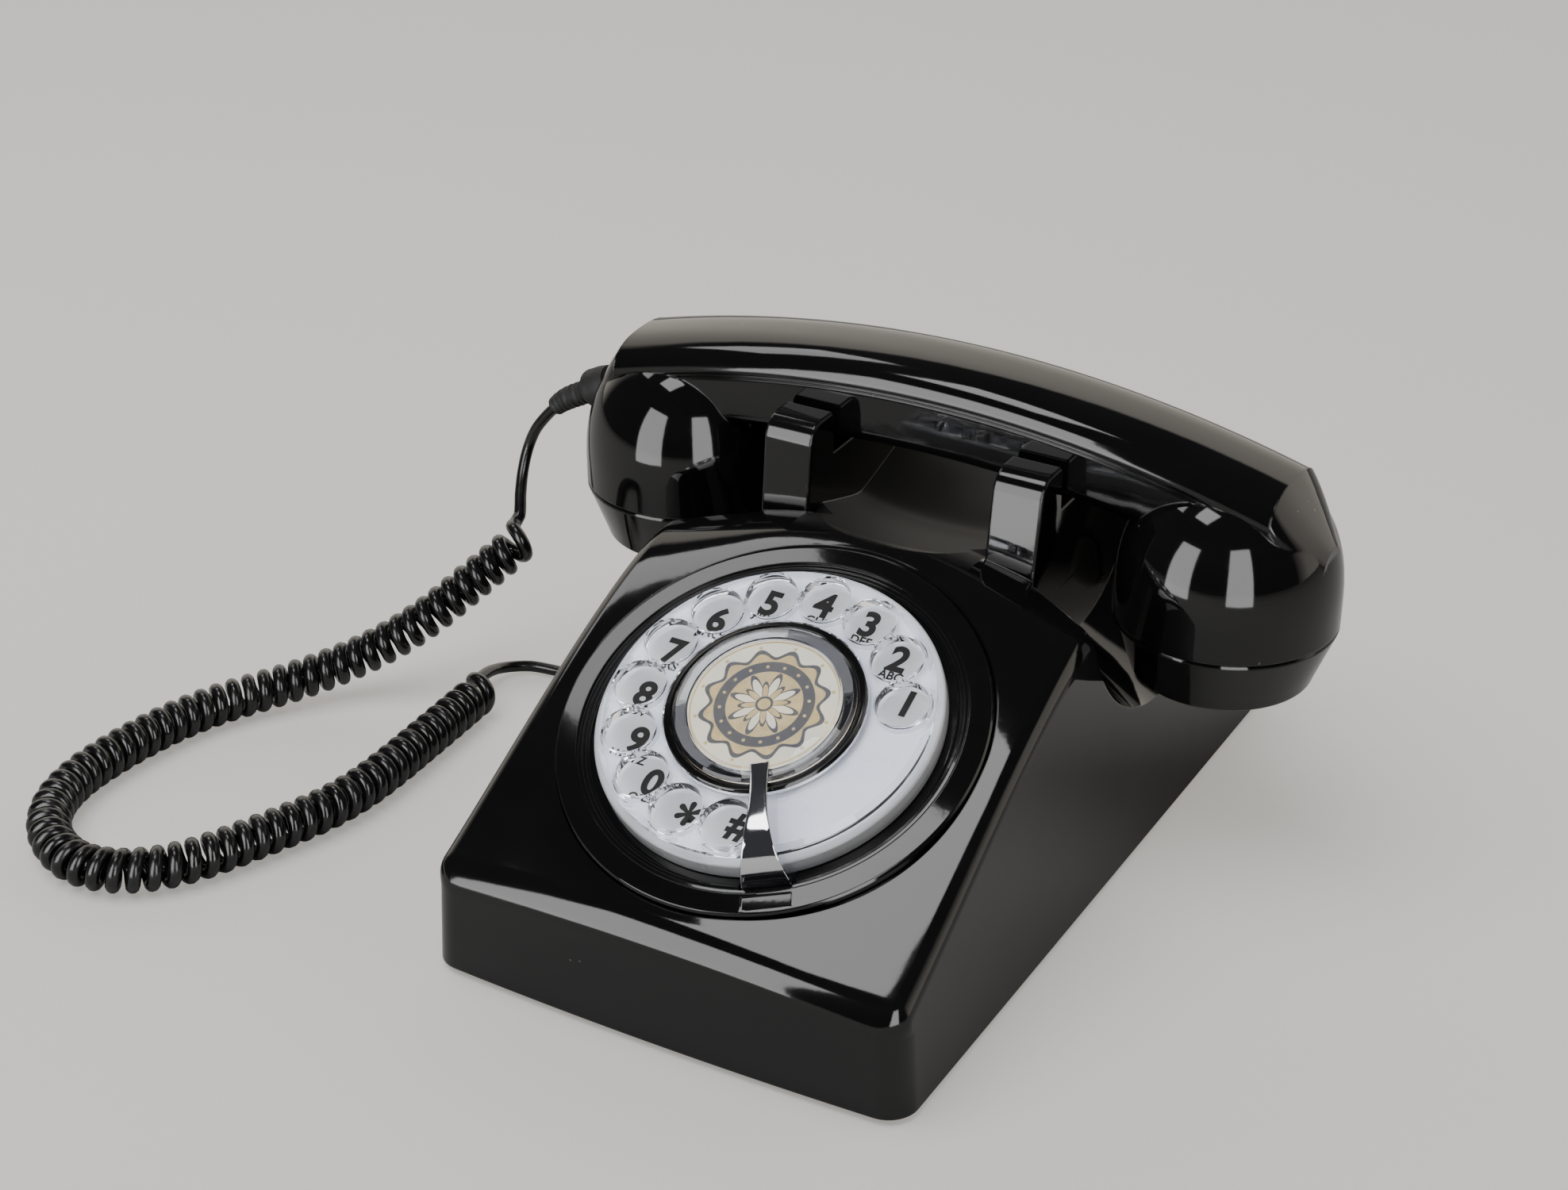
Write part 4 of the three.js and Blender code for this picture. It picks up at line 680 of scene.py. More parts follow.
def cord_line():
    """The wire's middle and its radius: a lead, then turns about a smooth line, then a lead; the
    turning speeds up and slows down evenly over the first and last 14 mm.
    """
    count = CURLS * 24
    axis = evenly(curve_through(CURL_LINE, 60), count + 1)
    run = np.linspace(0, np.linalg.norm(np.diff(axis, axis=0), axis=1).sum(), count + 1)
    pace = np.cumsum(smooth(run / 14) * smooth((run[-1] - run) / 14))
    turn = 2 * np.pi * (CURLS - 0.5) * pace[:, None] / pace[-1]
    along = unit(np.gradient(axis, axis=0))
    side = unit(np.cross(along, (0, 0, 1)))
    curl = axis + CURL_RADIUS * (side * np.cos(turn) + np.cross(side, along) * np.sin(turn))
    first = curve_through(HANDSET_LEAD + [tuple(curl[0]), tuple(curl[12])], 10)[:-11]
    last = curve_through([tuple(curl[-13]), tuple(curl[-1])] + BASE_LEAD, 10)[11:]
    thick = np.concatenate(
        [0 * first[:, 0] + LEAD_RADIUS, 0 * curl[:, 0] + WIRE_RADIUS, 0 * last[:, 0] + LEAD_RADIUS]
    )
    eased = np.convolve(np.pad(thick, 20, "edge"), np.full(41, 1 / 41), "valid")
    return np.concatenate([first, curl, last]), eased


def make_cord():
    """One round wire from the boot on the handset to the grommet in the base."""
    line, thick = cord_line()
    curve = bpy.data.curves.new("handset_cord", "CURVE")
    curve.dimensions = "3D"
    spline = curve.splines.new("POLY")
    spline.points.add(len(line) - 1)
    spline.points.foreach_set("co", np.c_[line, np.ones(len(line))].ravel())
    spline.points.foreach_set("radius", thick / WIRE_RADIUS)
    curve.bevel_depth = WIRE_RADIUS
    curve.bevel_resolution = 4
    curve.use_fill_caps = True
    wire = tidy_mesh(settled(add_object("handset_cord", curve)))
    dressed(wire, JACKET, None, sharp=0)
    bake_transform(wire)
    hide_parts("handset_cord_curl", "handset_cord_lead", "base_cord_lead")
    path = line * 0.001
    length = float(np.linalg.norm(np.diff(path, axis=0), axis=1).sum())
    print(f"cord length {length:.3f} m, {len(path)} points")
    return wire, path, length


def make_boot():
    """Strain relief of the handset: a collar, then a neck with rings, carried round a bent line;
    each row is a distance past the grip's left end, a height above that end and a radius.
    """
    rows = np.array([
        (-1.6, 5.0, 5.5), (1, 3.6, 6), (3.6, 2.3, 6), (5.4, 1.4, 5.9), (6.1, 1.0, 5.1),
        (6.6, 0.7, 4), (10, -1.2, 3.7), (14, -3.4, 3.6), (17.1, -5.6, 3.3), (19.1, -7.4, 3.0),
    ])
    past, above, radius = rows.T
    line = np.stack([-GRIP_END - past, 0 * past + CRADLE_Y, GRIP_END_Z + above], -1)
    fine = curve_through(np.c_[line, radius], 12)
    line, radius = fine[:, :3], fine[:, 3]
    run = distances(line)
    neck = smooth((run - 10.2) / 0.8) * smooth((run[-1] - 0.7 - run) / 0.7)
    radius = radius - 0.45 * neck * smooth(0.5 + 1.6 * np.cos(2 * np.pi * run / 2.1))
    along = unit(np.gradient(line, axis=0))
    across = np.stack([-along[:, 2], 0 * run, along[:, 0]], -1)[:, None]
    a = np.linspace(0, 2 * np.pi, 40, endpoint=False)[None, :, None]
    ring = across * np.cos(a) + np.array([0, 1, 0]) * np.sin(a)
    boot = surface("cord_strain_relief", line[:, None] + ring * radius[:, None, None])
    return dressed(boot, RUBBER, "handset", ["cord_boot"])


def make_grommet():
    """Rubber grommet where the cord enters the left wall."""
    profile = filleted([
        (0, -2.6, 0), (2.2, -2.6, 0.4), (5, -2.4, 0.8), (6, -1.4, 0.5), (6, 0.3, 0), (4.5, 0.3, 0),
        (4.5, 4.4, 0), (0, 4.4, 0),
    ])
    grommet = turned("base_cord_grommet", profile, 48)
    moved(grommet, at_cord_entry)
    return dressed(grommet, RUBBER, "base", ["base_grommet"], 30)


cord, cord_path, cord_length = make_cord()
boot = make_boot()
grommet = make_grommet()

# -------- housing


def face_height(y):
    """Height of the sloping face at y."""
    return DIAL_Z + (y - DIAL_Y) * math.tan(FACE_TILT)


def shoulder_drop(x, y, z):
    """Height lost by the shoulders: grows with the square of the distance past the dial, and with
    its share across the slope.
    """
    s = np.minimum((y - DIAL_Y) / math.cos(FACE_TILT), SHOULDER_END)
    reach = np.hypot(x, s)
    fade = np.where(y > CRADLE_Y, np.clip((z - REAR_WALL_TOP) / 30, 0, 1), 1)
    share = np.clip(s / np.maximum(reach, 1e-9), 0, 1)
    drop = SHOULDER_FALL * np.maximum(reach - RING_RADIUS, 0) ** 2 * share**2.6 * fade
    return np.where(s > 0, drop, 0)


def crown_drop(x, y, z):
    """Height lost by the crowned front edge: with the square of the distance from the middle."""
    up = np.clip((z - FOOT_LIFT) / (APRON_TOP - FOOT_LIFT), 0, 1)
    return FACE_CROWN * (2 * x / WIDTH) ** 2 * smooth((-44 - y) / 76) * up


def side_line():
    """Outline of the housing from the side as y, z, outward normal and corner radius: apron,
    sloping face, crest, rear slope, rear wall.
    """
    front, back = -DEPTH / 2 + APRON_BOW, DEPTH / 2
    start = CRADLE_Y - 27
    crest = face_height(start)
    low = math.degrees(FACE_TILT)
    apron = np.concatenate([
        np.stack([np.full(12, front), np.linspace(FOOT_LIFT, APRON_TOP - 2, 12)], -1),
        arc(front + APRON_RADIUS, APRON_TOP, APRON_RADIUS, 180, 90 + low, 16),
    ])
    face = filleted([
        (*apron[-1], 0), (start, crest, 26), (REAR_SHOULDER, crest, 7), (103, 65.5, 16),
        (118.4, 54, 5), (back, 47, 6), (back, FOOT_LIFT, 0),
    ], 8)
    line = np.concatenate([apron, face[1:]])
    run = distances(line)
    wanted = np.unique(np.concatenate([run, np.arange(0, run[-1], 2.5)]))
    wanted = wanted[np.concatenate([[True], np.diff(wanted) > 0.25])]
    line = resampled(run, line, wanted)
    slope = unit(np.gradient(line, wanted, axis=0))
    slope[0], slope[-1] = (0, 1), (0, -1)
    normal = np.stack([-slope[:, 1], slope[:, 0]], -1)
    upright = smooth(1 - np.abs(normal[:, 1]) / 0.9)
    radius = EDGE_RADIUS + (CORNER_RADIUS - EDGE_RADIUS) * upright
    return line, normal, radius


def housing_form(name, inset, floor, rounds=8, flats=44):
    """The housing without its cradle: its side outline carried across the width, its edges rounded
    at both sides, its front bowed, its face dropped at the shoulders and the front corners, its
    sides leaning in.
    """
    line, normal, radius = side_line()
    r = np.maximum(radius - inset, 0.8)[None]
    half = WIDTH / 2 - inset
    turn = np.radians(np.linspace(90, 0, rounds + 1))[:, None]
    left = -(half - r + r * np.sin(turn))
    middle = (half - r) * np.linspace(-1, 1, flats + 1)[1:-1, None]
    x = np.concatenate([left, middle, -left[::-1]])
    edge = r * (1 - np.cos(turn))
    hollow = np.concatenate([edge, 0 * middle, edge[::-1]])
    depth = inset + hollow
    bow = APRON_BOW * np.maximum(-normal[None, :, 0], 0) * (1 - (x / half) ** 2)
    y = line[None, :, 0] - normal[None, :, 0] * depth - bow
    z = np.maximum(line[None, :, 1] - normal[None, :, 1] * depth, floor)
    z[:, [0, -1]] = floor
    z = z - shoulder_drop(x, y, z) - crown_drop(x, y, z)
    x = x * (1 - SIDE_DRAFT * 2 * z / WIDTH)
    return surface(name, np.stack([x, y, z], -1))


def trough(side, grow):
    """Cone that clears one cup of the handset and widens outwards."""
    x = np.linspace(SADDLE_OUT - 0.4 - grow, WIDTH / 2 + 12, 12)
    radius = TROUGH_NECK + grow + (x - SADDLE_OUT) * TROUGH_FLARE
    a = np.linspace(0, 2 * np.pi, 144, endpoint=False)
    x, radius = x[:, None], radius[:, None]
    y, z = CRADLE_Y + radius * np.cos(a), TROUGH_Z + radius * np.sin(a)
    return surface("trough", np.stack([side * x + 0 * a, y, z], -1))


def bowl(grow):
    """Finger hollow between the saddles: from its curved front edge the floor falls at a steady
    slope, rounds, and rises more gently to its rear edge.
    """
    x = np.linspace(-1, 1, 41)[:, None] * (SADDLE_IN + 7)
    reach = np.sqrt(BOWL_RADIUS**2 - x**2)
    y = reach * np.linspace(-1.5, 1.5, 121)
    front, rear = BOWL_FALL * (reach + y), BOWL_RISE * (reach - y)
    floor = BOWL_LIP - (front + rear - np.sqrt((front - rear) ** 2 + 4)) / 2 - grow
    top = 0 * x[:, :1] + 130
    y = np.concatenate([y[:, :1], y, y[:, -1:]], 1) + CRADLE_Y
    z = np.concatenate([top, floor, top], 1)
    return surface("bowl", np.stack(np.broadcast_arrays(x, y, z), -1))


def grip_channel():
    """Room of the grip in the saddles: open at the top, its lower corners rounded, bent as the
    grip's underside is.
    """
    half, x = GRIP_HALF_WIDTH + 0.4, np.linspace(-50, 50, 21)
    section = np.concatenate([
        [[CRADLE_Y - half, 30]], arc(CRADLE_Y - half + 4, 4, 4, 180, 270, 6),
        arc(CRADLE_Y + half - 4, 4, 4, 270, 360, 6), [[CRADLE_Y + half, 30]],
    ])
    low = GRIP_BOTTOM - GRIP_SAG * x**2 - 0.4
    points = np.broadcast_arrays(x[:, None], section[:, 0], low[:, None] + section[:, 1])
    return surface("channel", np.stack(points, -1))


def saddle(side):
    """Saddle with its front and rear horns: its outline from the side, thickened across, all edges
    rounded.
    """
    front, rear = CRADLE_Y - GRIP_HALF_WIDTH - 0.4, CRADLE_Y + GRIP_HALF_WIDTH + 0.4
    lean = 0.17 if side > 0 else 0.1
    outline = filleted([
        (front - HORN_DEPTH - 27 * lean, SADDLE_FOOT, 0),
        (front - HORN_DEPTH + 11.5 * lean, FRONT_HORN_TOP, HORN_RADIUS),
        (front, FRONT_HORN_TOP, 1.6),
        (front, GRIP_BOTTOM - 4, 0), (rear, GRIP_BOTTOM - 4, 0), (rear, REAR_HORN_TOP, 1.6),
        (rear + HORN_DEPTH, REAR_HORN_TOP, HORN_RADIUS), (rear + HORN_DEPTH, SADDLE_FOOT, 0),
    ], 8, True)
    body = plate("saddle", outline, SADDLE_OUT - SADDLE_IN, 0.9)
    middle = side * (SADDLE_IN + SADDLE_OUT) / 2
    return moved(body, Matrix(((0, 0, 1, middle), (1, 0, 0, 0), (0, 1, 0, 0), (0, 0, 0, 1))))


def rod(name, radius, low, high, x=0, y=0, sides=64):
    """Upright round bar between two heights."""
    return turned(name, [(0, low), (radius, low), (radius, high), (0, high)], sides, x, y)


def make_housing():
    """The moulded housing: form less troughs and bowl, with saddles, less the grip's channel, the
    hollow, the dial's well and its small openings.
    """
    body = housing_form("housing_moulding", 0, FOOT_LIFT)
    room = housing_form("hollow", WALL, FOOT_LIFT - 1, 2, 10)
    joined(room, trough(-1, WALL), trough(1, WALL), bowl(WALL))
    joined(body, trough(-1, 0), trough(1, 0), bowl(0))
    joined(body, saddle(-1), saddle(1), how="UNION")
    seat, mouth = RING_RADIUS + 0.3, RING_RADIUS + 1.6
    well = turned("well", filleted([
        (0, -8, 0), (seat, -8, 0), (seat, -0.35, 0.35), (mouth, 0.25, 0), (mouth, 12, 0), (0, 12, 0)
    ]), 256)
    moved(well, on_face)
    guides = [
        rod("guide", 3.6, SADDLE_FOOT - 4, 112, side * PLUNGER_X, CRADLE_Y) for side in (-1, 1)
    ]
    jack = box("jack", (14, DEPTH / 2 - 8, 7.2), (26, DEPTH / 2 + 1, 20))
    socket = moved(rod("socket", 4.8, -2, 8), at_cord_entry)
    joined(body, grip_channel(), room, well, *guides, jack, socket)
    return dressed(tidy_mesh(body, 2e-3), HOUSING_BLACK, "base", ["housing"], 24)


# -------- dial


def make_dial_ring():
    """Bezel round the wheel: outer band with a slight straight slope, fine step, fluted inner band,
    a slot for the stop and a pad behind it.
    """
    w = WELL_RADIUS
    profile = filleted([
        (44, -4, 0), (RING_RADIUS, -4, 0), (RING_RADIUS, 0.5, 0.2), (58, 1.2, 0.4),
        (52.6, 1.87, 0.4), (52.2, 1.7, 0.1), (52.1, 1.2, 0.2), (51.1, 1.25, 0.2),
        (50.9, 0.95, 0.15), (50.1, 0.95, 0.15), (49.9, 0.65, 0.15), (w, 0.6, 0.25),
        (w, -0.3, 0), (44, -0.3, 0),
    ], 5, True)
    ring = turned("dial_bezel", profile, 288, wrap=True)
    turn = Matrix.Rotation(STOP_ANGLE, 4, "Z")
    slot = moved(box("slot", (42, -7.4, -5), (w + 1.8, 7.4, 6), 0.5), turn)
    pad = moved(box("pad", (w + 4, -6.6, 1.3), (RING_RADIUS - 1.4, 6.6, 6), 0.4), turn)
    joined(ring, slot, pad)
    return dressed(moved(ring, on_face), RING_BLACK, "base", ["dial_ring"])


def make_number_plate():
    """Shallow dish under the wheel with a rounded rim."""
    r, t = PLATE_RADIUS, PLATE_TOP
    profile = filleted([
        (8, t - 1.6, 0.2), (r - 1.6, t - 1.6, 0.4), (r - 1.6, 0, 0.3), (r, 0, 0.3), (r, t, 0.7),
        (8, t, 0.2),
    ], 4, True)
    disc = turned("number_disc", profile, 192, wrap=True)
    return dressed(moved(disc, on_face), ENAMEL, "base", ["number_plate"])


LABELS = "1|2 ABC|3 DEF|4 GHI|5 JKL|6 MNO|7 PQRS|8 TUV|9 WXYZ|0 OPER|*|#".split("|")


def lettering(text, height, x, y, weight):
    """One word as a thin raised print of a cap height, its middle at x, y."""
    curve = bpy.data.curves.new("print", "FONT")
    curve.body = text
    curve.size = height / 0.7
    curve.offset = weight
    curve.extrude = 0.04
    curve.resolution_u = 5
    word = settled(add_object("print", curve))
    corners = np.array([v.co for v in word.data.vertices])
    middle = (corners.min(0) + corners.max(0)) / 2
    return moved(word, Matrix.Translation((x - middle[0], y - middle[1], PLATE_TOP + 0.04)))


def make_numbers():
    """Numerals and letters on the plate, each group where its finger hole rests, one mesh."""
    words = []
    for label, angle in zip(LABELS, HOLE_ANGLES + NUMBER_TURN):
        x = NUMBER_MIDDLE[0] + NUMBER_CIRCLE * math.cos(angle)
        y = NUMBER_MIDDLE[1] + NUMBER_CIRCLE * math.sin(angle)
        number, _, letters = label.partition(" ")
        height, weight = (11, 0.3) if number == "*" else (7.6, 0.38)
        words.append(lettering(number, height, x, y, weight))
        if letters:
            words.append(lettering(letters, 2.5, x, y - 5.5, 0.08))
    work = bmesh.new()
    for word in words:
        work.from_mesh(word.data)
        bpy.data.objects.remove(word)
    mesh = bpy.data.meshes.new("numbers")
    work.to_mesh(mesh)
    work.free()
    numbers = tidy_mesh(add_object("dial_numbers", mesh), 1e-4)
    return dressed(moved(numbers, on_face), INK, "base", ())


def make_wheel():
    """Clear finger wheel: a turned disc with a rounded rim, less twelve holes whose edges flare
    like a trumpet.
    """
    low, high, r = WHEEL_BOTTOM, WHEEL_TOP, WHEEL_RADIUS
    disc = turned("clear_finger_wheel", filleted([
        (BORE_RADIUS, low, 0), (r - 0.1, low, 0.5), (r, high - 1.5, 0.3), (r - 1.5, high, 0.4),
        (27.3, high, 0.3), (27.3, 6.8, 0), (BORE_RADIUS, 6.8, 0),
    ], 5, True), 240, wrap=True)
    h = HOLE_RADIUS
    profile = filleted([
        (0, low - 1, 0), (h + 2, low - 1, 0), (h + 1.2, low - 0.02, 0), (h, low, 0.5),
        (h, high, 0.75), (h + 1.4, high + 0.02, 0), (h + 2, high + 1, 0), (0, high + 1, 0),
    ], 6)
    holes = [
        turned("hole", profile, 64, HOLE_CIRCLE * math.cos(a), HOLE_CIRCLE * math.sin(a))
        for a in HOLE_ANGLES
    ]
    joined(disc, *holes)
    return dressed(moved(disc, on_face), CLEAR, "dial", ["finger_wheel"])


def make_hub():
    """Black hub ring with fine turned lines, printed disc in it, and the clear cap over both."""
    ring = turned("hub_bezel", filleted([
        (BORE_RADIUS, 7.1, 0), (HUB_RADIUS, 7.1, 0), (HUB_RADIUS, 9.0, 0.2), (26.6, 9.45, 0.15),
        (26.1, 9.3, 0.1), (25.6, 9.45, 0.1), (25.2, 9.3, 0.1), (24.9, 9.0, 0), (24.9, 8.3, 0),
        (BORE_RADIUS, 8.3, 0),
    ], 4, True), 192, wrap=True)
    dressed(moved(ring, on_face), RING_BLACK, "dial", ["hub_ring"])
    r = LABEL_RADIUS
    disc = turned(
        "hub_rosette_disc", filleted([(0, 8.6, 0), (r, 8.6, 0.1), (r, 8.9, 0.1), (0, 8.9, 0)]), 128
    )
    dressed(moved(disc, on_face), ORNAMENT, "dial", ["hub_label"])
    cap = turned("hub_window", filleted([
        (0, 9.2, 0), (20.9, 9.2, 0), (20.9, 8.6, 0), (WINDOW_RADIUS, 8.6, 0.2),
        (WINDOW_RADIUS, 9.8, 0.4), (23.7, 10.4, 0.5), (20.6, 10.75, 0.3), (20.2, 10.6, 0.2),
        (10, 10.85, 8), (0, 10.9, 0),
    ]), 160)
    dressed(moved(cap, on_face), CLEAR, "dial", ["hub_cap"])


def make_finger_stop():
    """Bent chromed blade: a flat section with rounded edges carried along its bend, wide at the
    foot, narrow at the tip.
    """
    rows = np.array([
        (49.9, -3.7, 11), (49.9, 0.5, 13), (49.6, 3, 12.6), (48.8, 7, 11), (46.6, 10.6, 9),
        (43, 12.4, 7.4), (38, 13, 5.8), (32, 12.9, 4.8), (26, 12.6, 4.7), (21, 12.4, 5.2),
    ])
    rows = curve_through(rows, 10)
    line, half = rows[:, :2], rows[:, 2:] / 2
    along = unit(np.gradient(line, axis=0))
    across = np.stack([-along[:, 1], along[:, 0]], -1)
    a = np.linspace(0, 2 * np.pi, 48, endpoint=False)
    u = np.sign(np.cos(a)) * np.abs(np.cos(a)) ** 0.5
    v = np.sign(np.sin(a)) * np.abs(np.sin(a)) ** 0.5
    flat = half - 0.8 + 0.8 * np.abs(u)[None]
    side = np.sign(u) * flat * np.minimum(np.abs(u) * 1.6, 1)
    plane = line[:, None] + across[:, None] * (0.8 * v)[None, :, None]
    blade = surface("finger_stop_blade", np.stack([plane[..., 0], side, plane[..., 1]], -1))
    moved(blade, on_face @ Matrix.Rotation(STOP_ANGLE, 4, "Z"))
    return dressed(blade, CHROME, "base", ["finger_stop"])


# -------- handset


def grip_form(name, grow, end, stations=90):
    """The grip along its length: a section with a crowned upper band and flat panels, which falls
    off with the square of the distance from the middle and narrows past the corner.
    """
    corners = [v * s for s in (-1, 1) for v in (GRIP_BEND, GRIP_CORNER, 105, 109) if v < end]
    x = np.unique(np.concatenate([np.linspace(-end, end, 2 * stations + 1), corners]))
    far = np.abs(x)
    past = np.clip((far - GRIP_CORNER) / (GRIP_END - GRIP_CORNER), 0, 1)
    full = GRIP_HALF_WIDTH + grow
    half = full - (full - 7 - grow) * past**1.6
    corner_top = GRIP_TOP - GRIP_SAG * GRIP_CORNER**2
    end_top = corner_top + (GRIP_END_Z + 8 - corner_top) * past
    top = np.where(far < GRIP_CORNER, GRIP_TOP - GRIP_SAG * x**2, end_top) + grow
    falling = np.maximum(far - GRIP_BEND, 0) / (GRIP_END - GRIP_BEND)
    under = GRIP_BOTTOM - GRIP_SAG * np.minimum(far, GRIP_BEND) ** 2
    low = under + (86 - under) * falling - grow
    band = np.where(far < GRIP_CORNER, 123.9 - 0.00145 * x**2, top - 8 - grow)
    band = np.minimum(band, top - 6.5)
    recess = (0.8 + 0 * x) * (1 - smooth((far - 94) / 4))
    panel = half - recess
    edge = np.minimum(4, (band - low) / 2)
    crown = arc(0, 0, 1, 0, 180, 28)
    cy = np.sign(crown[:, 0]) * np.abs(crown[:, 0]) ** 0.75
    cz = crown[:, 1]

    def columns(y, z):
        """Grid columns at y from the cradle's line and at height z."""
        return np.stack(np.broadcast_arrays(x[:, None], CRADLE_Y + y, z), -1)

    p, b, w, e = panel[:, None], band[:, None], low[:, None], edge[:, None]
    round_left, round_right = arc(0, 0, 1, 180, 270, 6).T, arc(0, 0, 1, 270, 360, 6).T
    bead = recess[:, None] * 0.55
    half_round = arc(0, 0, 1, 90, -90, 6).T

    def beads(sign):
        """Two half-round lines on the panel, one under the other."""
        return [
            columns(sign * (p + bead * half_round[0]), b - down + bead * half_round[1])
            for down in (1.35, 2.45)
        ]

    left, right = beads(-1), beads(1)
    parts = [
        columns(half[:, None] * cy, b + (top[:, None] - b) * cz),
        columns(-half[:, None] + [[0.0, 0.12]], b - [[0.25, 0.55]]),
        columns(-p, b - 0.75),
        *left,
        columns(-p + e + e * round_left[0], w + e + e * round_left[1]),
        columns(p - e + e * round_right[0], w + e + e * round_right[1]),
        *[line[:, ::-1] for line in right[::-1]],
        columns(p, b - 0.75),
        columns(half[:, None] - [[0.12, 0.0]], b - [[0.55, 0.25]]),
    ]
    return surface(name, np.concatenate(parts, 1))


def cup_dome(side, grow, bottom):
    """Dome over one cup: radius and height follow a superellipse, down to the cap's joint."""
    t = np.linspace(0, 1, 48) ** 0.8
    t = np.sin(t * np.pi / 2)
    r = (CUP_RADIUS + grow) * np.maximum(1 - t**2.4, 0) ** (1 / 2.4)
    dome = np.stack([r, CUP_SHOULDER + (CUP_RISE + grow) * t], -1)
    profile = np.concatenate([[[0, bottom], [CUP_RADIUS + grow, bottom]], dome])
    return turned("dome", profile, 160, side * CUP_X, CRADLE_Y)


def make_handset():
    """Handset: grip and two cups in one moulding, hollow inside, and the two caps screwed under the
    cups.
    """
    shell = grip_form("handset_moulding", 0, GRIP_END)
    joined(shell, cup_dome(-1, 0, SEAM_Z), cup_dome(1, 0, SEAM_Z), how="UNION")
    hollow = grip_form("hollow", -WALL, GRIP_CORNER, 20)
    joined(hollow, cup_dome(-1, -WALL, SEAM_Z - 1), cup_dome(1, -WALL, SEAM_Z - 1), how="UNION")
    joined(shell, hollow)
    dressed(tidy_mesh(shell, 2e-3), BLACK, "handset", ["handset_shell"], 24)
    for name, node, side, circle, count in (
        ("mouthpiece_cap", "mouth_cap", -1, 8, 7), ("earpiece_cap", "ear_cap", 1, 11, 8)
    ):
        top, r, c = SEAM_Z - 0.3, CUP_RADIUS, CAP_RADIUS
        cap = turned(name, filleted([
            (0, 57, 0), (c - 6, 56.6, 12), (c - 3, CAP_BOTTOM, 1), (c - 0.6, CAP_BOTTOM + 0.6, 1.6),
            (c + 0.6, CAP_BOTTOM + 4, 4), (r, top - 0.9, 0.6), (r - 0.35, top, 0.2),
            (r - WALL, top, 0), (c - 3.6, CAP_BOTTOM + 3, 1.5), (0, CAP_BOTTOM + 3, 0),
        ], 6), 144, side * CUP_X, CRADLE_Y)
        for a in 2 * np.pi * np.arange(count) / count:
            x, y = side * CUP_X + circle * math.cos(a), CRADLE_Y + circle * math.sin(a)
            joined(cap, rod("hole", 1.5, 50, 62, x, y, 24))
        dressed(cap, BLACK, "handset", [node], 30)


def make_plungers():
    """Round-headed plungers that stand up in the saddles when the handset is lifted."""
    floor = GRIP_BOTTOM - GRIP_SAG * PLUNGER_X**2 - 0.4
    for side, word in ((-1, "left"), (1, "right")):
        plunger = turned(f"cradle_plunger_{word}", filleted([
            (0, 64.8, 0), (2, 64.8, 0.2), (2, 70.5, 0), (4.6, 70.5, 0.3), (4.6, 72.5, 0.3),
            (3.2, 72.5, 0), (3.2, floor - 1.6, 1.4), (2, floor - 0.5, 1), (0, floor - 0.2, 0),
        ]), 48, side * PLUNGER_X, CRADLE_Y)
        dressed(plunger, BLACK, f"plunger_{word}", [f"hook_plunger_{word}"])


make_housing()
make_dial_ring()
make_number_plate()
make_numbers()
make_wheel()
make_hub()
make_finger_stop()
make_handset()
make_plungers()

# -------- solids that stay

STAYING = {
    STEEL: [
        "dial_frame", "dial_screw_", "dial_bridge", "dial_shaft", "base_screw_", "hook_lever",
        "hook_pin", "hook_bracket", "handset_weight", "ballast",
    ],
    BRASS: ["shaft_bush", "main_gear", "governor", "return_spring_drum"],
    CAN: ["capacitor", "speaker", "receiver"],
    DARK: ["pulse_switch", "hook_switch", "chip_", "line_jack", "microphone"],
    RUBBER: ["foot_"],
    BASE: ["base_plate"],
    BOARD: ["circuit_board"],
}
for finish, names in STAYING.items():
    for name, node in nodes.items():
        if any(name == start or name.startswith(start) and start.endswith("_") for start in names):
            node.data.materials.clear()
            node.data.materials.append(finish.material)

# -------- floor and light


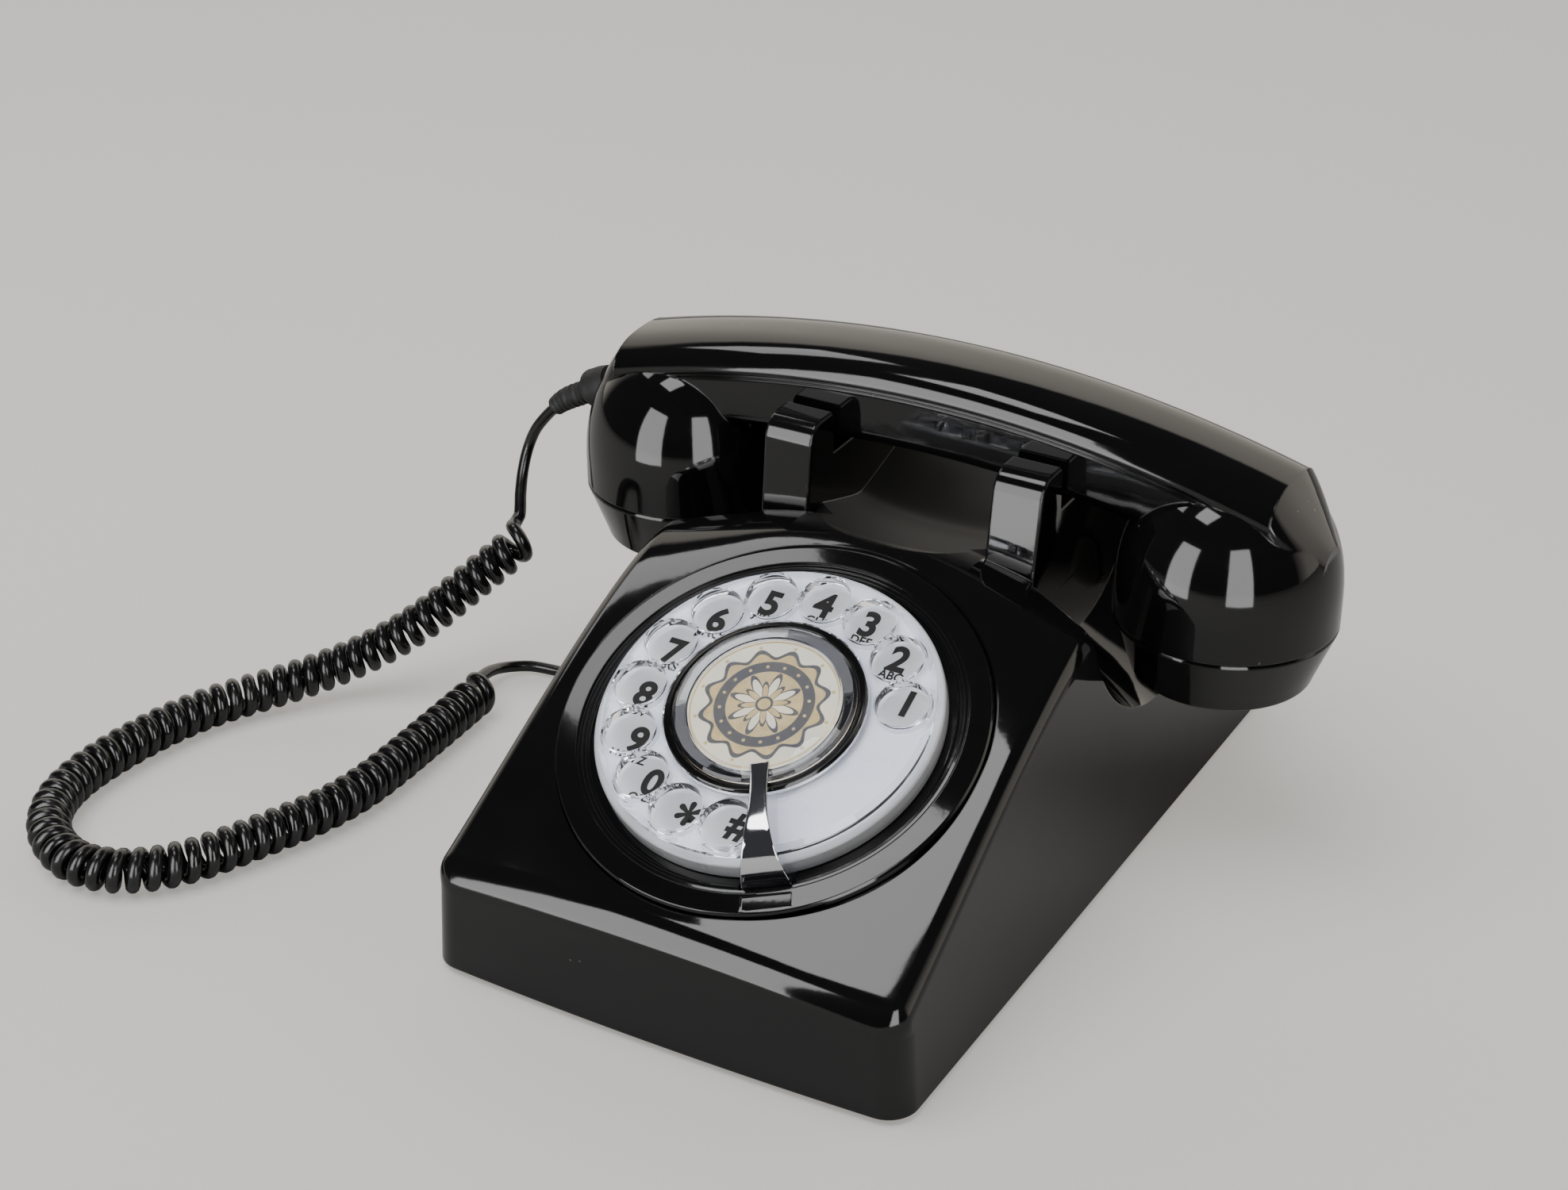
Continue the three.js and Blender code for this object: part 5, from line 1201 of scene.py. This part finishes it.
def make_floor():
    """Plain pale floor, which glows a little for rays from the camera and through glass."""
    mesh = bpy.data.meshes.new("floor")
    mesh.from_pydata([(-4, -4, 0), (4, -4, 0), (4, 4, 0), (-4, 4, 0)], [], [(0, 1, 2, 3)])
    floor = add_object("floor", mesh)
    f = Finish("pale_floor", Specular_IOR_Level=0.0, Emission_Strength=1.0)
    rays = ("Is Camera Ray", "Is Transmission Ray")
    seen = f.maths("MAXIMUM", *[f.node("ShaderNodeLightPath", {}, ray) for ray in rays])
    f.set(
        Base_Color=f.mix(f.noise(6, 3), (0.78, 0.775, 0.76, 1), (0.80, 0.795, 0.78, 1)),
        Roughness=f.steps(f.noise(30, 3), 0.3, 0.7, 0.6, 0.75),
        Emission_Color=f.mix(seen, (0, 0, 0, 1), (0.36, 0.345, 0.32, 1)),
    )
    mesh.materials.append(f.material)


def softbox(name, centre, size, strength, target=None, turn=0.0, shows_in="gloss"):
    """Rectangular lamp of a given brightness, facing its target, or straight down and turned; it
    lights either gloss or all the rest.
    """
    lamp = bpy.data.lights.new(name, "AREA")
    lamp.shape = "RECTANGLE"
    lamp.size, lamp.size_y = size
    lamp.energy = strength * math.pi * size[0] * size[1]
    obj = bpy.data.objects.new(name, lamp)
    obj.location = centre
    obj.rotation_euler = (0, 0, math.radians(turn))
    if target:
        obj.rotation_euler = (Vector(target) - Vector(centre)).to_track_quat("-Z", "Y").to_euler()
    obj.visible_glossy = shows_in == "gloss"
    obj.visible_diffuse = shows_in == "diffuse"
    obj.visible_camera = False
    bpy.context.scene.collection.objects.link(obj)


def set_light():
    """Studio with a pale backdrop behind and dark elsewhere, boxes over the left side and in front,
    and a wide lamp that shows in no gloss.
    """
    world = bpy.data.worlds.new("studio")
    world.use_nodes = True
    bpy.context.scene.world = world
    sky = Surround(world)
    _, back, up = sky.parts(sky.place)
    wall = sky.steps(back, 0.05, 0.3) * sky.steps(up, 0.62, 0.66, 1, 0)
    light = sky.node("ShaderNodeLightPath", {}, "Is Camera Ray")
    shown = sky.mix(wall, (0.045, 0.045, 0.05, 1), (1.25, 1.18, 1.05, 1))
    shown = sky.mix(light, shown, (0.80, 0.78, 0.74, 1))
    sky.feed(world.node_tree.nodes["Background"].inputs["Color"], shown)
    softbox("fill", (-0.3, -0.5, 1.6), (1.6, 1.6), 2.2, (0, 0, 0), shows_in="diffuse")
    softbox("face_box", (-0.42, -0.214, 1.5), (0.45, 0.44), 6.0, turn=-32.5)
    softbox("ring_box", (-1.125, 0.34, 1.5), (0.42, 0.74), 4.0, turn=-37.8)
    softbox("left_strip", (-0.21, -0.47, 0.26), (0.27, 0.52), 6.0, (0, 0.02, 0.26))
    softbox("right_strip", (0.40, -0.46, 0.33), (0.26, 0.65), 6.0, (0.05, 0.02, 0.33))


make_floor()
set_light()
